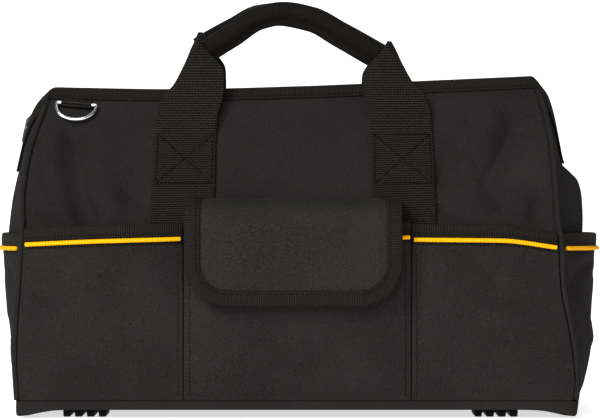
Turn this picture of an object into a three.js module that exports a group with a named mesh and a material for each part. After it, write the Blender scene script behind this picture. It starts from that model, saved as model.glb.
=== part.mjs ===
// A soft zipped work bag with two webbing handles, pockets all round and four rubber feet.
// Millimetres, +X to the right, the front faces -Y, +Z up. The middle of the footprint is the origin.
import * as THREE from "three";

// Clearance and wall sizes
const GAP = 0.3; // air between pieces that touch
const RIM_GAP = 0.9; // the same under the rim tape, where the cloth twists
const CLOTH = 2.2; // body cloth with its lining
const TAPE = 1.2; // woven binding tape
const WEBBING = 2; // strap thickness
const FLAP_CLOTH = 3; // padded flap

// Body
const BODY_LENGTH = 434; // between the corner seams, near the base
const BODY_DEPTH = 208; // front wall to back wall, behind the pockets
const RIM_HEIGHT = 264; // middle of the ridge
const SHOULDER_HEIGHT = 145; // where the walls turn in to the ridge
const SHOULDER_ROUND = 7;
const RIDGE_HALF = 8; // ridge edge to the middle plane
const WALL_FLARE = 2.5; // the walls' spread at the lower seam
const FLARE_REACH = 9;
const SEAM_HEIGHT = 14; // lower seam
const SLIT_SHARE = 0.7; // bottom of the end slits, as a share of the way up to the rim
const SLIT_HALF = 7;
const RIM_TAPE_END = 0.74; // lower end of the rim tape, in the same share
const FOLD_DEPTH = 6; // depth of a fold of share 1

// Base and feet
const BASE_UNDERSIDE = 6.6;
const CORNER_DROOP = 5;
const CORNER_REACH = 17;
const BASE_ROUND = 5;
const FOOT_LENGTH = 34;
const FOOT_WIDTH = 33;
const FOOT_RIB = 3.8; // height of a rib
const FOOT_RIBS = 4;
const FOOT_INSET = 27; // front wall to the foot's middle
const FOOT_LEFT = -170;
const FOOT_RIGHT = 155;

// Edges
const RIM_TAPE_WIDTH = 12;
const POCKET_TAPE_WIDTH = 9;
const FLAP_TAPE_WIDTH = 10.5;
const SEAM_CORD = 4.4; // diameter of the covered piping
const YELLOW_CORD = 3.4; // diameter of the yellow piping
const CORD_SIDES = 6;

// Pockets
const POCKET_HEIGHT = 152; // top of the front pockets at the handles
const POCKET_STAND = 7; // how far a side pocket stands off the wall
const CENTRE_STAND = 11; // the same for the bellows pocket in the middle
const END_POCKET_HEIGHT = 143.5;
const LEFT_POCKET_STAND = 1; // how far the end pockets stand off their bowed ends
const RIGHT_POCKET_STAND = 6;
const DIVIDER_LEFT = -91;
const DIVIDER_RIGHT = 87;

// Flap
const FLAP_WIDTH = 166;
const FLAP_MIDDLE = -5;
const FLAP_TOP = 168.5;
const FLAP_DROP = 81;
const FLAP_STAND = 24; // front wall to the outside of the flap
const FLAP_CORNER = 32;

// Zip
const ZIP_WIDTH = 9;
const ZIP_TAPE = 1.4;
const COIL_WIDTH = 4.4;
const COIL_RISE = 1.2;
const SLIDER_LENGTH = 11;
const SLIDER_WIDTH = 7;
const SLIDER_HEIGHT = 3;

// Handles
const WEBBING_WIDTH = 50;
const STRAP_LEFT = -93; // middle of the left straps
const STRAP_RIGHT = 82.7;
const STRAP_TUCK = 8; // how far a strap reaches below the pocket's top
const STRAP_LEAVE = 0.84; // where a strap leaves the wall, as a share of the way up to the rim
const GRIP_OFFSET = 9.6; // grip to the middle plane
const GRIP_RADIUS = 8;
const GRIP_FLANGE = 4; // stitched edge under the grip
const GRIP_LENGTH = 150;
const GRIP_MIDDLE = -6;
const GRIP_CLEAR = 64; // ridge to the middle of the grip's highest point
const GRIP_HEIGHT = RIM_HEIGHT + GRIP_CLEAR;

// Ring and its loop
const RING_WIRE = 3.2;
const RING_WIDTH = 36;
const RING_DEPTH = 19;
const RING_INSET = 19.46; // left end of the ridge to the middle of the ring
const RING_TILT = 6; // degrees that its loop is turned on the roof
const LOOP_WIDTH = 25;
const LOOP_WALL = 1.5;
const LOOP_TAIL = 1.6; // top of the loop to the near side of its eye
const LOOP_DROP = 0.8; // rim tape to the top of the loop

const FRONT = -1;
const BACK = 1;
const LEFT = -1;
const RIGHT = 1;

// Corner seams: x at each share of the way from the lower seam up to the rim, as shares of half the length
const SEAM_LINES = [
  { up: 0.0, left: 1.011, right: 0.985 },
  { up: 0.05, left: 1.016, right: 0.992 },
  { up: 0.12, left: 1.02, right: 0.987 },
  { up: 0.23, left: 1.017, right: 0.967 },
  { up: 0.35, left: 1.007, right: 0.94 },
  { up: 0.47, left: 0.999, right: 0.933 },
  { up: 0.54, left: 0.996, right: 0.926 },
  { up: 0.65, left: 1.007, right: 0.929 },
  { up: 0.75, left: 1.002, right: 0.93 },
  { up: 0.85, left: 0.982, right: 0.919 },
  { up: 0.93, left: 0.957, right: 0.903 },
  { up: 1.0, left: 0.933, right: 0.882 },
];

// Middle line of each end, in the same shares
const END_LINES = [
  { up: 0.0, left: 1.05, right: 1.036 },
  { up: 0.12, left: 1.078, right: 1.065 },
  { up: 0.33, left: 1.102, right: 1.078 },
  { up: 0.5, left: 1.109, right: 1.081 },
  { up: 0.62, left: 1.097, right: 1.076 },
  { up: 0.67, left: 1.087, right: 1.062 },
  { up: 0.7, left: 1.08, right: 1.03 },
  { up: 0.725, left: 1.072, right: 1.0 },
  { up: 0.8, left: 1.05, right: 0.982 },
  { up: 0.88, left: 1.025, right: 0.965 },
  { up: 0.94, left: 0.998, right: 0.946 },
  { up: 0.975, left: 0.972, right: 0.919 },
  { up: 1.0, left: 0.94, right: 0.889 },
];

// Ridge line: height at each share of the way across, as a share of the rim height
const RIM_LINE = [
  { across: 0.0, height: 0.998 },
  { across: 0.24, height: 0.992 },
  { across: 0.51, height: 1.001 },
  { across: 0.76, height: 1.017 },
  { across: 1.0, height: 1.033 },
];

// Folds of the front wall, across and up in shares, their depth as a share of the fold depth, positive inwards,
// and their spread as a share of the body length
const FRONT_FOLDS = [
  { across: 0.045, up: 0.82, toAcross: 0.125, toUp: 0.6, depth: 1.0, spread: 0.03 },
  { across: 0.1, up: 0.8, toAcross: 0.15, toUp: 0.57, depth: -0.45, spread: 0.028 },
  { across: 0.93, up: 0.87, toAcross: 0.86, toUp: 0.63, depth: 1.0, spread: 0.03 },
  { across: 0.91, up: 0.88, toAcross: 0.85, toUp: 0.76, depth: -0.6, spread: 0.026 },
  { across: 0.975, up: 0.6, toAcross: 0.965, toUp: 0.55, depth: 1.0, spread: 0.025 },
];

// Pocket tops: height at each share of the way across the section, as a share of the pocket height
const POCKET_TOPS = {
  left: [
    { across: 0, height: 0.969 },
    { across: 0.4, height: 0.985 },
    { across: 1, height: 0.999 },
  ],
  centre: [
    { across: 0, height: 0.999 },
    { across: 1, height: 1.007 },
  ],
  right: [
    { across: 0, height: 0.995 },
    { across: 0.6, height: 0.991 },
    { across: 1, height: 0.952 },
  ],
  back: [
    { across: 0, height: 0.965 },
    { across: 0.5, height: 1 },
    { across: 1, height: 0.965 },
  ],
};

// Flap from its fold down to its free edge: how far it has come out and how far it has dropped, as shares
const FLAP_LINE = [
  { down: 0, out: 0, drop: 0 },
  { down: 0.12, out: 0.34, drop: 0 },
  { down: 0.24, out: 0.68, drop: 0.03 },
  { down: 0.36, out: 0.93, drop: 0.09 },
  { down: 0.48, out: 1.02, drop: 0.19 },
  { down: 0.6, out: 1.03, drop: 0.37 },
  { down: 0.75, out: 1.03, drop: 0.6 },
  { down: 0.88, out: 1.02, drop: 0.81 },
  { down: 1, out: 1, drop: 1 },
];

// Strap above the wall: height between the leaving point and the grip's top, distance from the middle plane
// between the grip and the leaving point, and its two edges as shares of half its width, all shares
const LEG_LINE = [
  { up: 0.2, off: 0.72, outer: -0.95, inner: 1.03 },
  { up: 0.37, off: 0.42, outer: -0.84, inner: 1.18 },
  { up: 0.52, off: 0.2, outer: -0.44, inner: 1.24 },
  { up: 0.66, off: 0.07, outer: -0.2, inner: 1.22 },
  { up: 0.78, off: 0.02, outer: -0.02, inner: 0.95 },
  { up: 0.9, off: 0, outer: 0.14, inner: 0.6 },
  { up: 1.0, off: 0, outer: 0.3, inner: 0.44 },
];

// Grip: height of its middle line along its length, as a share of the rise between strap ends and top
const GRIP_LINE = [
  { along: 0, height: -0.08 },
  { along: 0.16, height: 0.4 },
  { along: 0.31, height: 0.87 },
  { along: 0.45, height: 1 },
  { along: 0.61, height: 0.86 },
  { along: 0.78, height: 0.42 },
  { along: 1, height: -0.18 },
];
const GRIP_RISE = 31;

// Cross-section of a grip, in shares of its radius: a tube with a stitched flange on its underside
const GRIP_SECTION = [
  { side: 0, up: 1 },
  { side: 0.7, up: 0.72 },
  { side: 1, up: 0 },
  { side: 0.78, up: -0.62 },
  { side: 0.25, up: -1 },
  { side: -0.25, up: -1 },
  { side: -0.78, up: -0.62 },
  { side: -1, up: 0 },
  { side: -0.7, up: 0.72 },
];

const HALF_LENGTH = BODY_LENGTH / 2;
const HALF_DEPTH = BODY_DEPTH / 2;
const POCKET_LIFT = 2 * GAP + WEBBING; // pocket edges clear the strap that they cover

const bag = new THREE.Group();

const BODY_CLOTH = new THREE.MeshStandardMaterial({ color: 0x242322, roughness: 0.9, metalness: 0 });
const BLACK_TAPE = new THREE.MeshStandardMaterial({ color: 0x2c2a27, roughness: 0.85, metalness: 0 });
const YELLOW = new THREE.MeshStandardMaterial({ color: 0xfab414, roughness: 0.7, metalness: 0 });
const STEEL = new THREE.MeshStandardMaterial({ color: 0xd4d6d8, roughness: 0.2, metalness: 1 });
const RUBBER = new THREE.MeshStandardMaterial({ color: 0x161616, roughness: 0.75, metalness: 0 });

// Value of a column of a table at a place, on a smooth curve with no overshoot through the rows
function readTable(table, placeName, columnName, place) {
  const last = table.length - 1;
  let row = 0;
  while (row < last - 1 && place > table[row + 1][placeName]) row += 1;
  const slopeAt = (index) => {
    if (index === 0 || index === last) {
      const first = index === 0 ? 0 : last - 1;
      return chordSlope(first);
    }
    const before = chordSlope(index - 1);
    const after = chordSlope(index);
    return before * after <= 0 ? 0 : (2 * before * after) / (before + after);
  };
  const chordSlope = (index) =>
    (table[index + 1][columnName] - table[index][columnName]) /
    (table[index + 1][placeName] - table[index][placeName]);
  const width = table[row + 1][placeName] - table[row][placeName];
  const t = THREE.MathUtils.clamp((place - table[row][placeName]) / width, 0, 1);
  const start = table[row][columnName];
  const end = table[row + 1][columnName];
  return (
    start * (1 + 2 * t) * (1 - t) ** 2 +
    slopeAt(row) * width * t * (1 - t) ** 2 +
    end * t * t * (3 - 2 * t) +
    slopeAt(row + 1) * width * t * t * (t - 1)
  );
}

// Smaller of two values, with the turn from one to the other rounded
function softMin(first, second, round) {
  return (first + second - Math.sqrt((first - second) ** 2 + round ** 2)) / 2;
}

const vector = (x, y, z) => new THREE.Vector3(x, y, z);
const move = (point, direction, distance) => point.clone().addScaledVector(direction, distance);
const steps = (count) => Array.from({ length: count + 1 }, (_, i) => i / count);

// Closed mesh from points and triangles, turned so that its faces point out
function solid(points, triangles) {
  let volume = 0;
  const cross = new THREE.Vector3();
  for (const [a, b, c] of triangles) {
    volume += points[a].dot(cross.crossVectors(points[b], points[c]));
  }
  const faces = volume < 0 ? triangles.map(([a, b, c]) => [a, c, b]) : triangles;
  const geometry = new THREE.BufferGeometry().setFromPoints(points);
  geometry.setIndex(faces.flat());
  geometry.computeVertexNormals();
  return geometry;
}

// Closed wall between an outer and an inner grid of points of the same size
function shell(outer, inner) {
  const rows = outer.length;
  const columns = outer[0].length;
  const points = [...outer.flat(), ...inner.flat()];
  const inside = rows * columns;
  const at = (row, column) => row * columns + column;
  const triangles = [];
  const quad = (a, b, c, d) => {
    const shortFirst = points[a].distanceToSquared(points[c]) <= points[b].distanceToSquared(points[d]);
    if (shortFirst) triangles.push([a, b, c], [a, c, d]);
    else triangles.push([a, b, d], [b, c, d]);
  };
  for (let i = 0; i < rows - 1; i += 1) {
    for (let j = 0; j < columns - 1; j += 1) {
      quad(at(i, j), at(i + 1, j), at(i + 1, j + 1), at(i, j + 1));
      quad(at(i, j) + inside, at(i, j + 1) + inside, at(i + 1, j + 1) + inside, at(i + 1, j) + inside);
    }
  }
  const border = [];
  for (let j = 0; j < columns - 1; j += 1) border.push(at(0, j));
  for (let i = 0; i < rows - 1; i += 1) border.push(at(i, columns - 1));
  for (let j = columns - 1; j > 0; j -= 1) border.push(at(rows - 1, j));
  for (let i = rows - 1; i > 0; i -= 1) border.push(at(i, 0));
  border.forEach((here, index) => {
    const next = border[(index + 1) % border.length];
    quad(here, next, next + inside, here + inside);
  });
  return solid(points, triangles);
}

// Unit normals of a grid of points, on the side of its rows crossed with its columns
function gridNormals(grid) {
  const rows = grid.length;
  const columns = grid[0].length;
  return grid.map((line, i) =>
    line.map((_, j) => {
      const alongRow = grid[Math.min(i + 1, rows - 1)][j].clone().sub(grid[Math.max(i - 1, 0)][j]);
      const alongColumn = line[Math.min(j + 1, columns - 1)].clone().sub(line[Math.max(j - 1, 0)]);
      return alongRow.cross(alongColumn).normalize();
    }),
  );
}

// Cloth wall of a thickness behind a grid of its outer face, on the side away from the outward direction
function cloth(grid, thickness, outward) {
  const normals = gridNormals(grid);
  const middle = normals[Math.floor(grid.length / 2)][Math.floor(grid[0].length / 2)];
  const sign = middle.dot(outward) < 0 ? 1 : -1;
  const inner = grid.map((line, i) => line.map((point, j) => move(point, normals[i][j], sign * thickness)));
  return shell(grid, inner);
}

// Closed body of a section carried through stations: each has a point and two directions, and an optional scale
function sweep(stations, section, isRing = false) {
  const count = section.length;
  const points = stations.flatMap(({ point, across, along, scale = 1 }) =>
    section.map(([a, b]) => move(move(point, across, a * scale), along, b * scale)),
  );
  const triangles = [];
  const lengths = isRing ? stations.length : stations.length - 1;
  for (let i = 0; i < lengths; i += 1) {
    const here = i * count;
    const next = ((i + 1) % stations.length) * count;
    for (let j = 0; j < count; j += 1) {
      const k = (j + 1) % count;
      triangles.push([here + j, next + j, next + k], [here + j, next + k, here + k]);
    }
  }
  if (!isRing) {
    const outline = section.map(([a, b]) => new THREE.Vector2(a, b));
    const isClockwise = THREE.ShapeUtils.isClockWise(outline);
    const far = (stations.length - 1) * count;
    for (const [a, b, c] of THREE.ShapeUtils.triangulateShape(outline, [])) {
      const [p, q, r] = isClockwise ? [a, b, c] : [a, c, b];
      triangles.push([p, r, q], [p + far, q + far, r + far]);
    }
  }
  return solid(points, triangles);
}

const circle = (radius, sides) =>
  steps(sides)
    .slice(1)
    .map((t) => [radius * Math.cos(2 * Math.PI * t), radius * Math.sin(2 * Math.PI * t)]);

// Round cord through points, one ring of faces at each point; reference is never along the cord
function cord(points, diameter, sides, reference) {
  const stations = points.map((point, i) => {
    const ahead = points[Math.min(i + 1, points.length - 1)];
    const tangent = ahead.clone().sub(points[Math.max(i - 1, 0)]).normalize();
    const across = reference.clone().cross(tangent).normalize();
    return { point, across, along: tangent.clone().cross(across) };
  });
  return sweep(stations, circle(diameter / 2, sides));
}

// Tape folded over an edge: its face lies on the cloth and its lip covers the cloth's cut edge.
// Each station has the edge point on the outer face, the outward normal and the direction into the cloth.
function bindingSection(width, clothThickness, lift = GAP) {
  return [
    [lift, width],
    [lift + TAPE, width],
    [lift + TAPE, -GAP - TAPE],
    [-clothThickness, -GAP - TAPE],
    [-clothThickness, -GAP],
    [lift, -GAP],
  ];
}

function addPiece(name, geometry, material) {
  const mesh = new THREE.Mesh(geometry, material);
  mesh.name = name;
  bag.add(mesh);
  return mesh;
}

// Body walls

const rimAt = (across) => RIM_HEIGHT * readTable(RIM_LINE, "across", "height", across);
const seamAt = (side, up) =>
  side * HALF_LENGTH * readTable(SEAM_LINES, "up", side === LEFT ? "left" : "right", up);
const endLineAt = (side, up) =>
  side * HALF_LENGTH * readTable(END_LINES, "up", side === LEFT ? "left" : "right", up);
const heightAt = (across, up) => SEAM_HEIGHT + (rimAt(across) - SEAM_HEIGHT) * up;

// Distance of the outer wall from the middle plane
function wallDepth(across, up) {
  const rim = rimAt(across);
  const height = heightAt(across, up);
  const roof = RIDGE_HALF + ((rim - height) * (HALF_DEPTH - RIDGE_HALF)) / (rim - SHOULDER_HEIGHT);
  const flare = WALL_FLARE * Math.exp(-(height - SEAM_HEIGHT) / FLARE_REACH);
  return softMin(HALF_DEPTH, roof, SHOULDER_ROUND) + flare;
}

function wallNormal(face, across, up) {
  const step = 0.004;
  const rise = heightAt(across, up + step) - heightAt(across, up - step);
  const out = wallDepth(across, up + step) - wallDepth(across, up - step);
  return vector(0, face * rise, -out).normalize();
}

// Depth of all folds at a place of the front wall
function foldDepth(across, up) {
  let depth = 0;
  for (const fold of FRONT_FOLDS) {
    const runX = (fold.toAcross - fold.across) * BODY_LENGTH;
    const runZ = (fold.toUp - fold.up) * RIM_HEIGHT;
    const x = (across - fold.across) * BODY_LENGTH;
    const z = (up - fold.up) * RIM_HEIGHT;
    const t = THREE.MathUtils.clamp((x * runX + z * runZ) / (runX ** 2 + runZ ** 2), 0, 1);
    const distance = Math.hypot(x - t * runX, z - t * runZ);
    depth += fold.depth * FOLD_DEPTH * Math.exp(-((distance / (fold.spread * BODY_LENGTH)) ** 2));
  }
  return depth;
}

// Outer face of the front or back wall, lifted off it by a distance
function wallPoint(face, across, up, lift = 0) {
  const x = THREE.MathUtils.lerp(seamAt(LEFT, up), seamAt(RIGHT, up), across);
  const point = vector(x, face * wallDepth(across, up), heightAt(across, up));
  return move(point, wallNormal(face, across, up), lift);
}

// Share of the way across at which the wall has a given x
const acrossAt = (x, up) => (x - seamAt(LEFT, up)) / (seamAt(RIGHT, up) - seamAt(LEFT, up));
// Share of the way up at which the wall has a given height
const upAt = (height, across) => (height - SEAM_HEIGHT) / (rimAt(across) - SEAM_HEIGHT);

const WALL_ROWS = [0, 0.06, 0.25, 0.44, 0.49, 0.525, 0.56, 0.61, 0.68, 0.76, 0.84, 0.91, 0.955, 1];
const tapeRow = WALL_ROWS.length - 2;

// Columns lie closer together near the corner seams, where the folds are
function wallColumns(count) {
  return steps(count).map((t) => THREE.MathUtils.lerp(t, (1 - Math.cos(Math.PI * t)) / 2, 0.55));
}

// The folds fade out at the seams, at the rim tape and below the shoulder
function foldFade(across, up) {
  const ends = THREE.MathUtils.smoothstep(Math.min(across, 1 - across), 0, 0.02);
  return ends * THREE.MathUtils.smoothstep(up, 0.53, 0.57) * (1 - THREE.MathUtils.smoothstep(up, 0.8, 0.9));
}

function wallGrid(face, columns) {
  return columns.map((across) =>
    WALL_ROWS.map((up) => {
      const fold = face === FRONT ? foldDepth(across, up) * foldFade(across, up) : 0;
      return wallPoint(face, across, up, -fold);
    }),
  );
}

const frontColumns = wallColumns(20);
const backColumns = wallColumns(12);
addPiece("front_panel", cloth(wallGrid(FRONT, frontColumns), CLOTH, vector(0, -1, 0)), BODY_CLOTH);
addPiece("back_panel", cloth(wallGrid(BACK, backColumns), CLOTH, vector(0, 1, 0)), BODY_CLOTH);

// Ends

// Outer face of an end at a distance from the middle plane and a share of the way up
function endX(side, y, up) {
  const reach = Math.min(Math.abs(y) / wallDepth(side === LEFT ? 0 : 1, up), 1.02);
  const seam = seamAt(side, up);
  return seam + (endLineAt(side, up) - seam) * (1 - reach ** 2);
}

const sideAcross = (side) => (side === LEFT ? 0 : 1);
const endPoint = (side, y, up) => vector(endX(side, y, up), y, heightAt(sideAcross(side), up));

// Stations down one half of an end: a share up on the corner seam, and one on the edge of the slit
const END_STATIONS = [
  { seam: 0.93, slit: 0.975 },
  { seam: 0.86, slit: 0.94 },
  { seam: 0.76, slit: 0.89 },
  { seam: 0.66, slit: 0.83 },
  { seam: 0.56, slit: 0.78 },
  { seam: 0.5, slit: 0.75 },
  { seam: 0.35, slit: 0.725 },
  { seam: 0.16, slit: 0.712 },
  { seam: 0.06, slit: 0.705 },
  { seam: 0, slit: SLIT_SHARE },
];
const END_BOTTOM = [-0.6, -0.2, 0.2, 0.6]; // stations across the lower seam, as shares of half the depth
const END_ROWS = [0.3, 0.52, 0.76, 1]; // rows from the tape out to the seam

// Stations of an end from the front of its slit round the bottom to the back: slit point and seam point as (y, up)
function endStations() {
  const inset = CLOTH + GAP;
  const half = (face) =>
    END_STATIONS.map(({ seam, slit }) => {
      const normal = wallNormal(face, 1, Math.max(seam, 0.02));
      const rise = rimAt(1) - SEAM_HEIGHT;
      const depth = wallDepth(1, seam) - inset * Math.abs(normal.y);
      return {
        slit: { y: face * SLIT_HALF, up: slit },
        seam: { y: face * depth, up: Math.max(seam - (inset * normal.z) / rise, 0) },
      };
    });
  const bottom = END_BOTTOM.map((share) => ({
    slit: { y: share * SLIT_HALF, up: SLIT_SHARE },
    seam: { y: share * (HALF_DEPTH + WALL_FLARE - inset), up: 0 },
  }));
  return [...half(FRONT), ...bottom, ...half(BACK).reverse()];
}

function endGrid(side) {
  return endStations().map(({ slit, seam }) => {
    const near = endPoint(side, slit.y, slit.up);
    const far = endPoint(side, seam.y, seam.up);
    const tapeShare = Math.min((RIM_TAPE_WIDTH + 1) / near.distanceTo(far), 0.2);
    return [0, tapeShare, ...END_ROWS].map((t) =>
      endPoint(side, THREE.MathUtils.lerp(slit.y, seam.y, t), THREE.MathUtils.lerp(slit.up, seam.up, t)),
    );
  });
}

for (const side of [LEFT, RIGHT]) {
  const name = side === LEFT ? "left_end_panel" : "right_end_panel";
  addPiece(name, cloth(endGrid(side), CLOTH, vector(side, 0, 0)), BODY_CLOTH);
}

// Base

const BAND_OUT = GAP + CLOTH; // the band stands outside the walls by this much
// Where the flat middle's rows and columns lie, as shares; two more on each side make the band
const BASE_ALONG = [0, 0.03, 0.07, 0.25, 0.5, 0.75, 0.93, 0.97, 1];
const BASE_DEEP = [0, 0.07, 0.15, 0.5, 0.85, 0.93, 1];

// Plan outline of the base: x at a share of the way along and y at a share of the depth, pulled in by an inset
function basePlan(along, deep, inset) {
  const outer = HALF_DEPTH + WALL_FLARE + BAND_OUT;
  const y = deep * (outer - inset);
  const left = endX(LEFT, deep * HALF_DEPTH, 0) - BAND_OUT + inset;
  const right = endX(RIGHT, deep * HALF_DEPTH, 0) + BAND_OUT - inset;
  return { x: THREE.MathUtils.lerp(left, right, along), y };
}

// One face of the base tray: a band that stands up round a flat middle, with drooping corners
function baseFace(lift, inset) {
  const bandTop = SEAM_HEIGHT - GAP;
  const along = [0, 0, ...BASE_ALONG, 1, 1];
  const deep = [0, 0, ...BASE_DEEP, 1, 1];
  return along.map((u, i) =>
    deep.map((v, j) => {
      const ring = Math.min(i, j, along.length - 1 - i, deep.length - 1 - j);
      const pull = inset + (ring >= 2 ? BASE_ROUND / 2 : 0);
      const { x, y } = basePlan(u, 2 * v - 1, pull);
      const low = BASE_UNDERSIDE + lift - CORNER_DROOP * cornerShare(x, y);
      const height = [bandTop, low + BASE_ROUND / 2][ring] ?? low;
      return vector(x, y, height);
    }),
  );
}

// 1 at a corner of the base, falling to 0 away from it
function cornerShare(x, y) {
  const outer = HALF_DEPTH + WALL_FLARE + BAND_OUT;
  const corner = x < 0 ? seamAt(LEFT, 0) : seamAt(RIGHT, 0);
  const distance = Math.hypot(x - corner, Math.abs(y) - outer);
  return Math.exp(-((distance / CORNER_REACH) ** 2));
}

addPiece("base_panel", shell(baseFace(0, 0), baseFace(CLOTH, CLOTH)), BODY_CLOTH);

// Ridged feet: ribs run front to back under a thin pad
function footShape() {
  const shape = new THREE.Shape();
  const top = BASE_UNDERSIDE - GAP;
  const pitch = FOOT_LENGTH / (FOOT_RIBS - 0.4);
  const land = 0.6 * pitch;
  const slope = 0.06 * pitch;
  shape.moveTo(-FOOT_LENGTH / 2, top);
  for (let rib = 0; rib < FOOT_RIBS; rib += 1) {
    const start = -FOOT_LENGTH / 2 + rib * pitch;
    if (rib > 0) shape.lineTo(start, FOOT_RIB);
    shape.lineTo(start + slope, 0);
    shape.lineTo(start + land - slope, 0);
    if (rib < FOOT_RIBS - 1) shape.lineTo(start + land, FOOT_RIB);
  }
  shape.lineTo(FOOT_LENGTH / 2, top);
  return shape;
}

for (const face of [FRONT, BACK]) {
  for (const side of [LEFT, RIGHT]) {
    const geometry = new THREE.ExtrudeGeometry(footShape(), { depth: FOOT_WIDTH, bevelEnabled: false });
    geometry.translate(0, 0, -FOOT_WIDTH / 2);
    geometry.rotateX(Math.PI / 2);
    const name = `${face === FRONT ? "front" : "back"}_${side === LEFT ? "left" : "right"}_foot`;
    const foot = addPiece(name, geometry, RUBBER);
    foot.position.set(side === LEFT ? FOOT_LEFT : FOOT_RIGHT, face * (HALF_DEPTH - FOOT_INSET), 0);
  }
}

// Covered piping of the corner seams, from the lower seam up to the rim tape

const CORD_ROWS = [0, 0.05, 0.15, 0.3, 0.45, 0.5, 0.54, 0.6, 0.7, 0.8, 0.88, 0.94];

// The piping lies in the middle of what is sewn into the seam: wall and pocket below, wall alone above
function cordLift(up) {
  return THREE.MathUtils.lerp(POCKET_LIFT, 3 * GAP, THREE.MathUtils.smoothstep(up, 0.5, 0.58));
}

function seamCord(face, side) {
  const across = sideAcross(side);
  const radius = SEAM_CORD / 2;
  const points = CORD_ROWS.map((up) => {
    const point = wallPoint(face, across, up, cordLift(up));
    const droop = up === 0 ? GAP : 0;
    return vector(point.x + side * (radius + GAP), point.y, point.z + droop);
  });
  return cord(points, SEAM_CORD, CORD_SIDES, vector(1, 0, 0));
}

for (const face of [FRONT, BACK]) {
  for (const side of [LEFT, RIGHT]) {
    const name = `${face === FRONT ? "front" : "back"}_${side === LEFT ? "left" : "right"}_seam_cord`;
    addPiece(name, seamCord(face, side), BODY_CLOTH);
  }
}

// Rim tape: along the ridge, round the top corners and down the slits

function slitStations(face, side) {
  const grid = endGrid(side);
  const normals = gridNormals(grid);
  const taped = END_STATIONS.filter(({ slit }) => slit > RIM_TAPE_END);
  const half = taped.map((_, i) => (face === FRONT ? i : grid.length - 1 - i));
  return half.map((index) => {
    const normal = normals[index][0].clone();
    if (normal.x * side < 0) normal.negate();
    const after = grid[Math.min(index + 1, grid.length - 1)][0];
    const edge = after.clone().sub(grid[Math.max(index - 1, 0)][0]).normalize();
    const along = grid[index][1].clone().sub(grid[index][0]);
    along.addScaledVector(edge, -along.dot(edge)).normalize();
    return { point: grid[index][0], across: normal, along };
  });
}

function ridgeStations(face, columns) {
  return columns.map((across) => {
    const edge = wallPoint(face, across, 1);
    const below = wallPoint(face, across, WALL_ROWS[tapeRow]);
    return { point: edge, across: wallNormal(face, across, 0.98), along: below.sub(edge).normalize() };
  });
}

for (const face of [FRONT, BACK]) {
  const columns = face === FRONT ? frontColumns : backColumns;
  const stations = [
    ...slitStations(face, LEFT).reverse(),
    ...ridgeStations(face, columns),
    ...slitStations(face, RIGHT),
  ];
  const name = face === FRONT ? "front_rim_binding" : "back_rim_binding";
  addPiece(name, sweep(stations, bindingSection(RIM_TAPE_WIDTH, CLOTH, RIM_GAP)), BLACK_TAPE);
}

// Zip: a tape with a raised coil that fills the ridge and both slits

function zipPath() {
  const slit = END_STATIONS.map(({ slit: up }) => up);
  const sunk = 1.2 * CLOTH;
  const down = (side) =>
    slit.map((up) => {
      const x = endLineAt(side, up) - side * sunk;
      return vector(x, 0, heightAt(sideAcross(side), up));
    });
  const ridge = steps(12)
    .slice(1, -1)
    .map((across) => {
      const point = wallPoint(FRONT, across, 1);
      return vector(point.x, 0, point.z - sunk);
    });
  return [...down(LEFT).reverse(), ...ridge, ...down(RIGHT)];
}

function zipStations(points) {
  return points.map((point, i) => {
    const ahead = points[Math.min(i + 1, points.length - 1)];
    const tangent = ahead.clone().sub(points[Math.max(i - 1, 0)]).normalize();
    return { point, across: vector(0, 1, 0), along: vector(0, 1, 0).cross(tangent).negate() };
  });
}

const ZIP_SECTION = [
  [-ZIP_WIDTH / 2, 0],
  [ZIP_WIDTH / 2, 0],
  [ZIP_WIDTH / 2, ZIP_TAPE],
  [COIL_WIDTH / 2, ZIP_TAPE],
  [COIL_WIDTH / 4, ZIP_TAPE + COIL_RISE],
  [-COIL_WIDTH / 4, ZIP_TAPE + COIL_RISE],
  [-COIL_WIDTH / 2, ZIP_TAPE],
  [-ZIP_WIDTH / 2, ZIP_TAPE],
];
const zipLine = zipPath();
addPiece("zip_tape", sweep(zipStations(zipLine), ZIP_SECTION), BLACK_TAPE);

// The slider is parked on the zip at the left end
const sliderPlace = END_STATIONS.length - 3;
const parked = zipStations(zipLine)[sliderPlace];
const sliderTurn = new THREE.Matrix4().makeBasis(
  parked.along.clone().cross(parked.across).negate(),
  parked.across,
  parked.along,
);
const sliderGeometry = new THREE.BoxGeometry(SLIDER_LENGTH, SLIDER_WIDTH, SLIDER_HEIGHT);
const slider = addPiece("zip_slider", sliderGeometry, STEEL);
slider.quaternion.setFromRotationMatrix(sliderTurn);
slider.position.copy(move(parked.point, parked.along, ZIP_TAPE + COIL_RISE + 2 * GAP + SLIDER_HEIGHT / 2));

// Pockets

const POCKET_ROWS = [0, 0.08, 0.25, 0.5, 0.75, 0.9, 1];

// Front or back pocket: stands off the wall by a bulge that is 0 at its two sewn sides
function pocketGrid({ face, from, to, tops, stand, squareness, columns }) {
  return steps(columns).map((t) => {
    const top = POCKET_HEIGHT * readTable(tops, "across", "height", t);
    const bulge = 1 - Math.abs(2 * t - 1) ** squareness;
    return POCKET_ROWS.map((row) => {
      const height = THREE.MathUtils.lerp(SEAM_HEIGHT, top, row);
      const up = upAt(height, 0.5);
      const left = from === LEFT ? seamAt(LEFT, up) : from;
      const right = to === RIGHT ? seamAt(RIGHT, up) : to;
      const open = 0.15 + 0.85 * Math.sqrt(row);
      const out = HALF_DEPTH + POCKET_LIFT + CLOTH + stand * bulge * open * (row === 0 ? 0 : 1);
      return vector(THREE.MathUtils.lerp(left, right, t), face * out, height);
    });
  });
}

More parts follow.
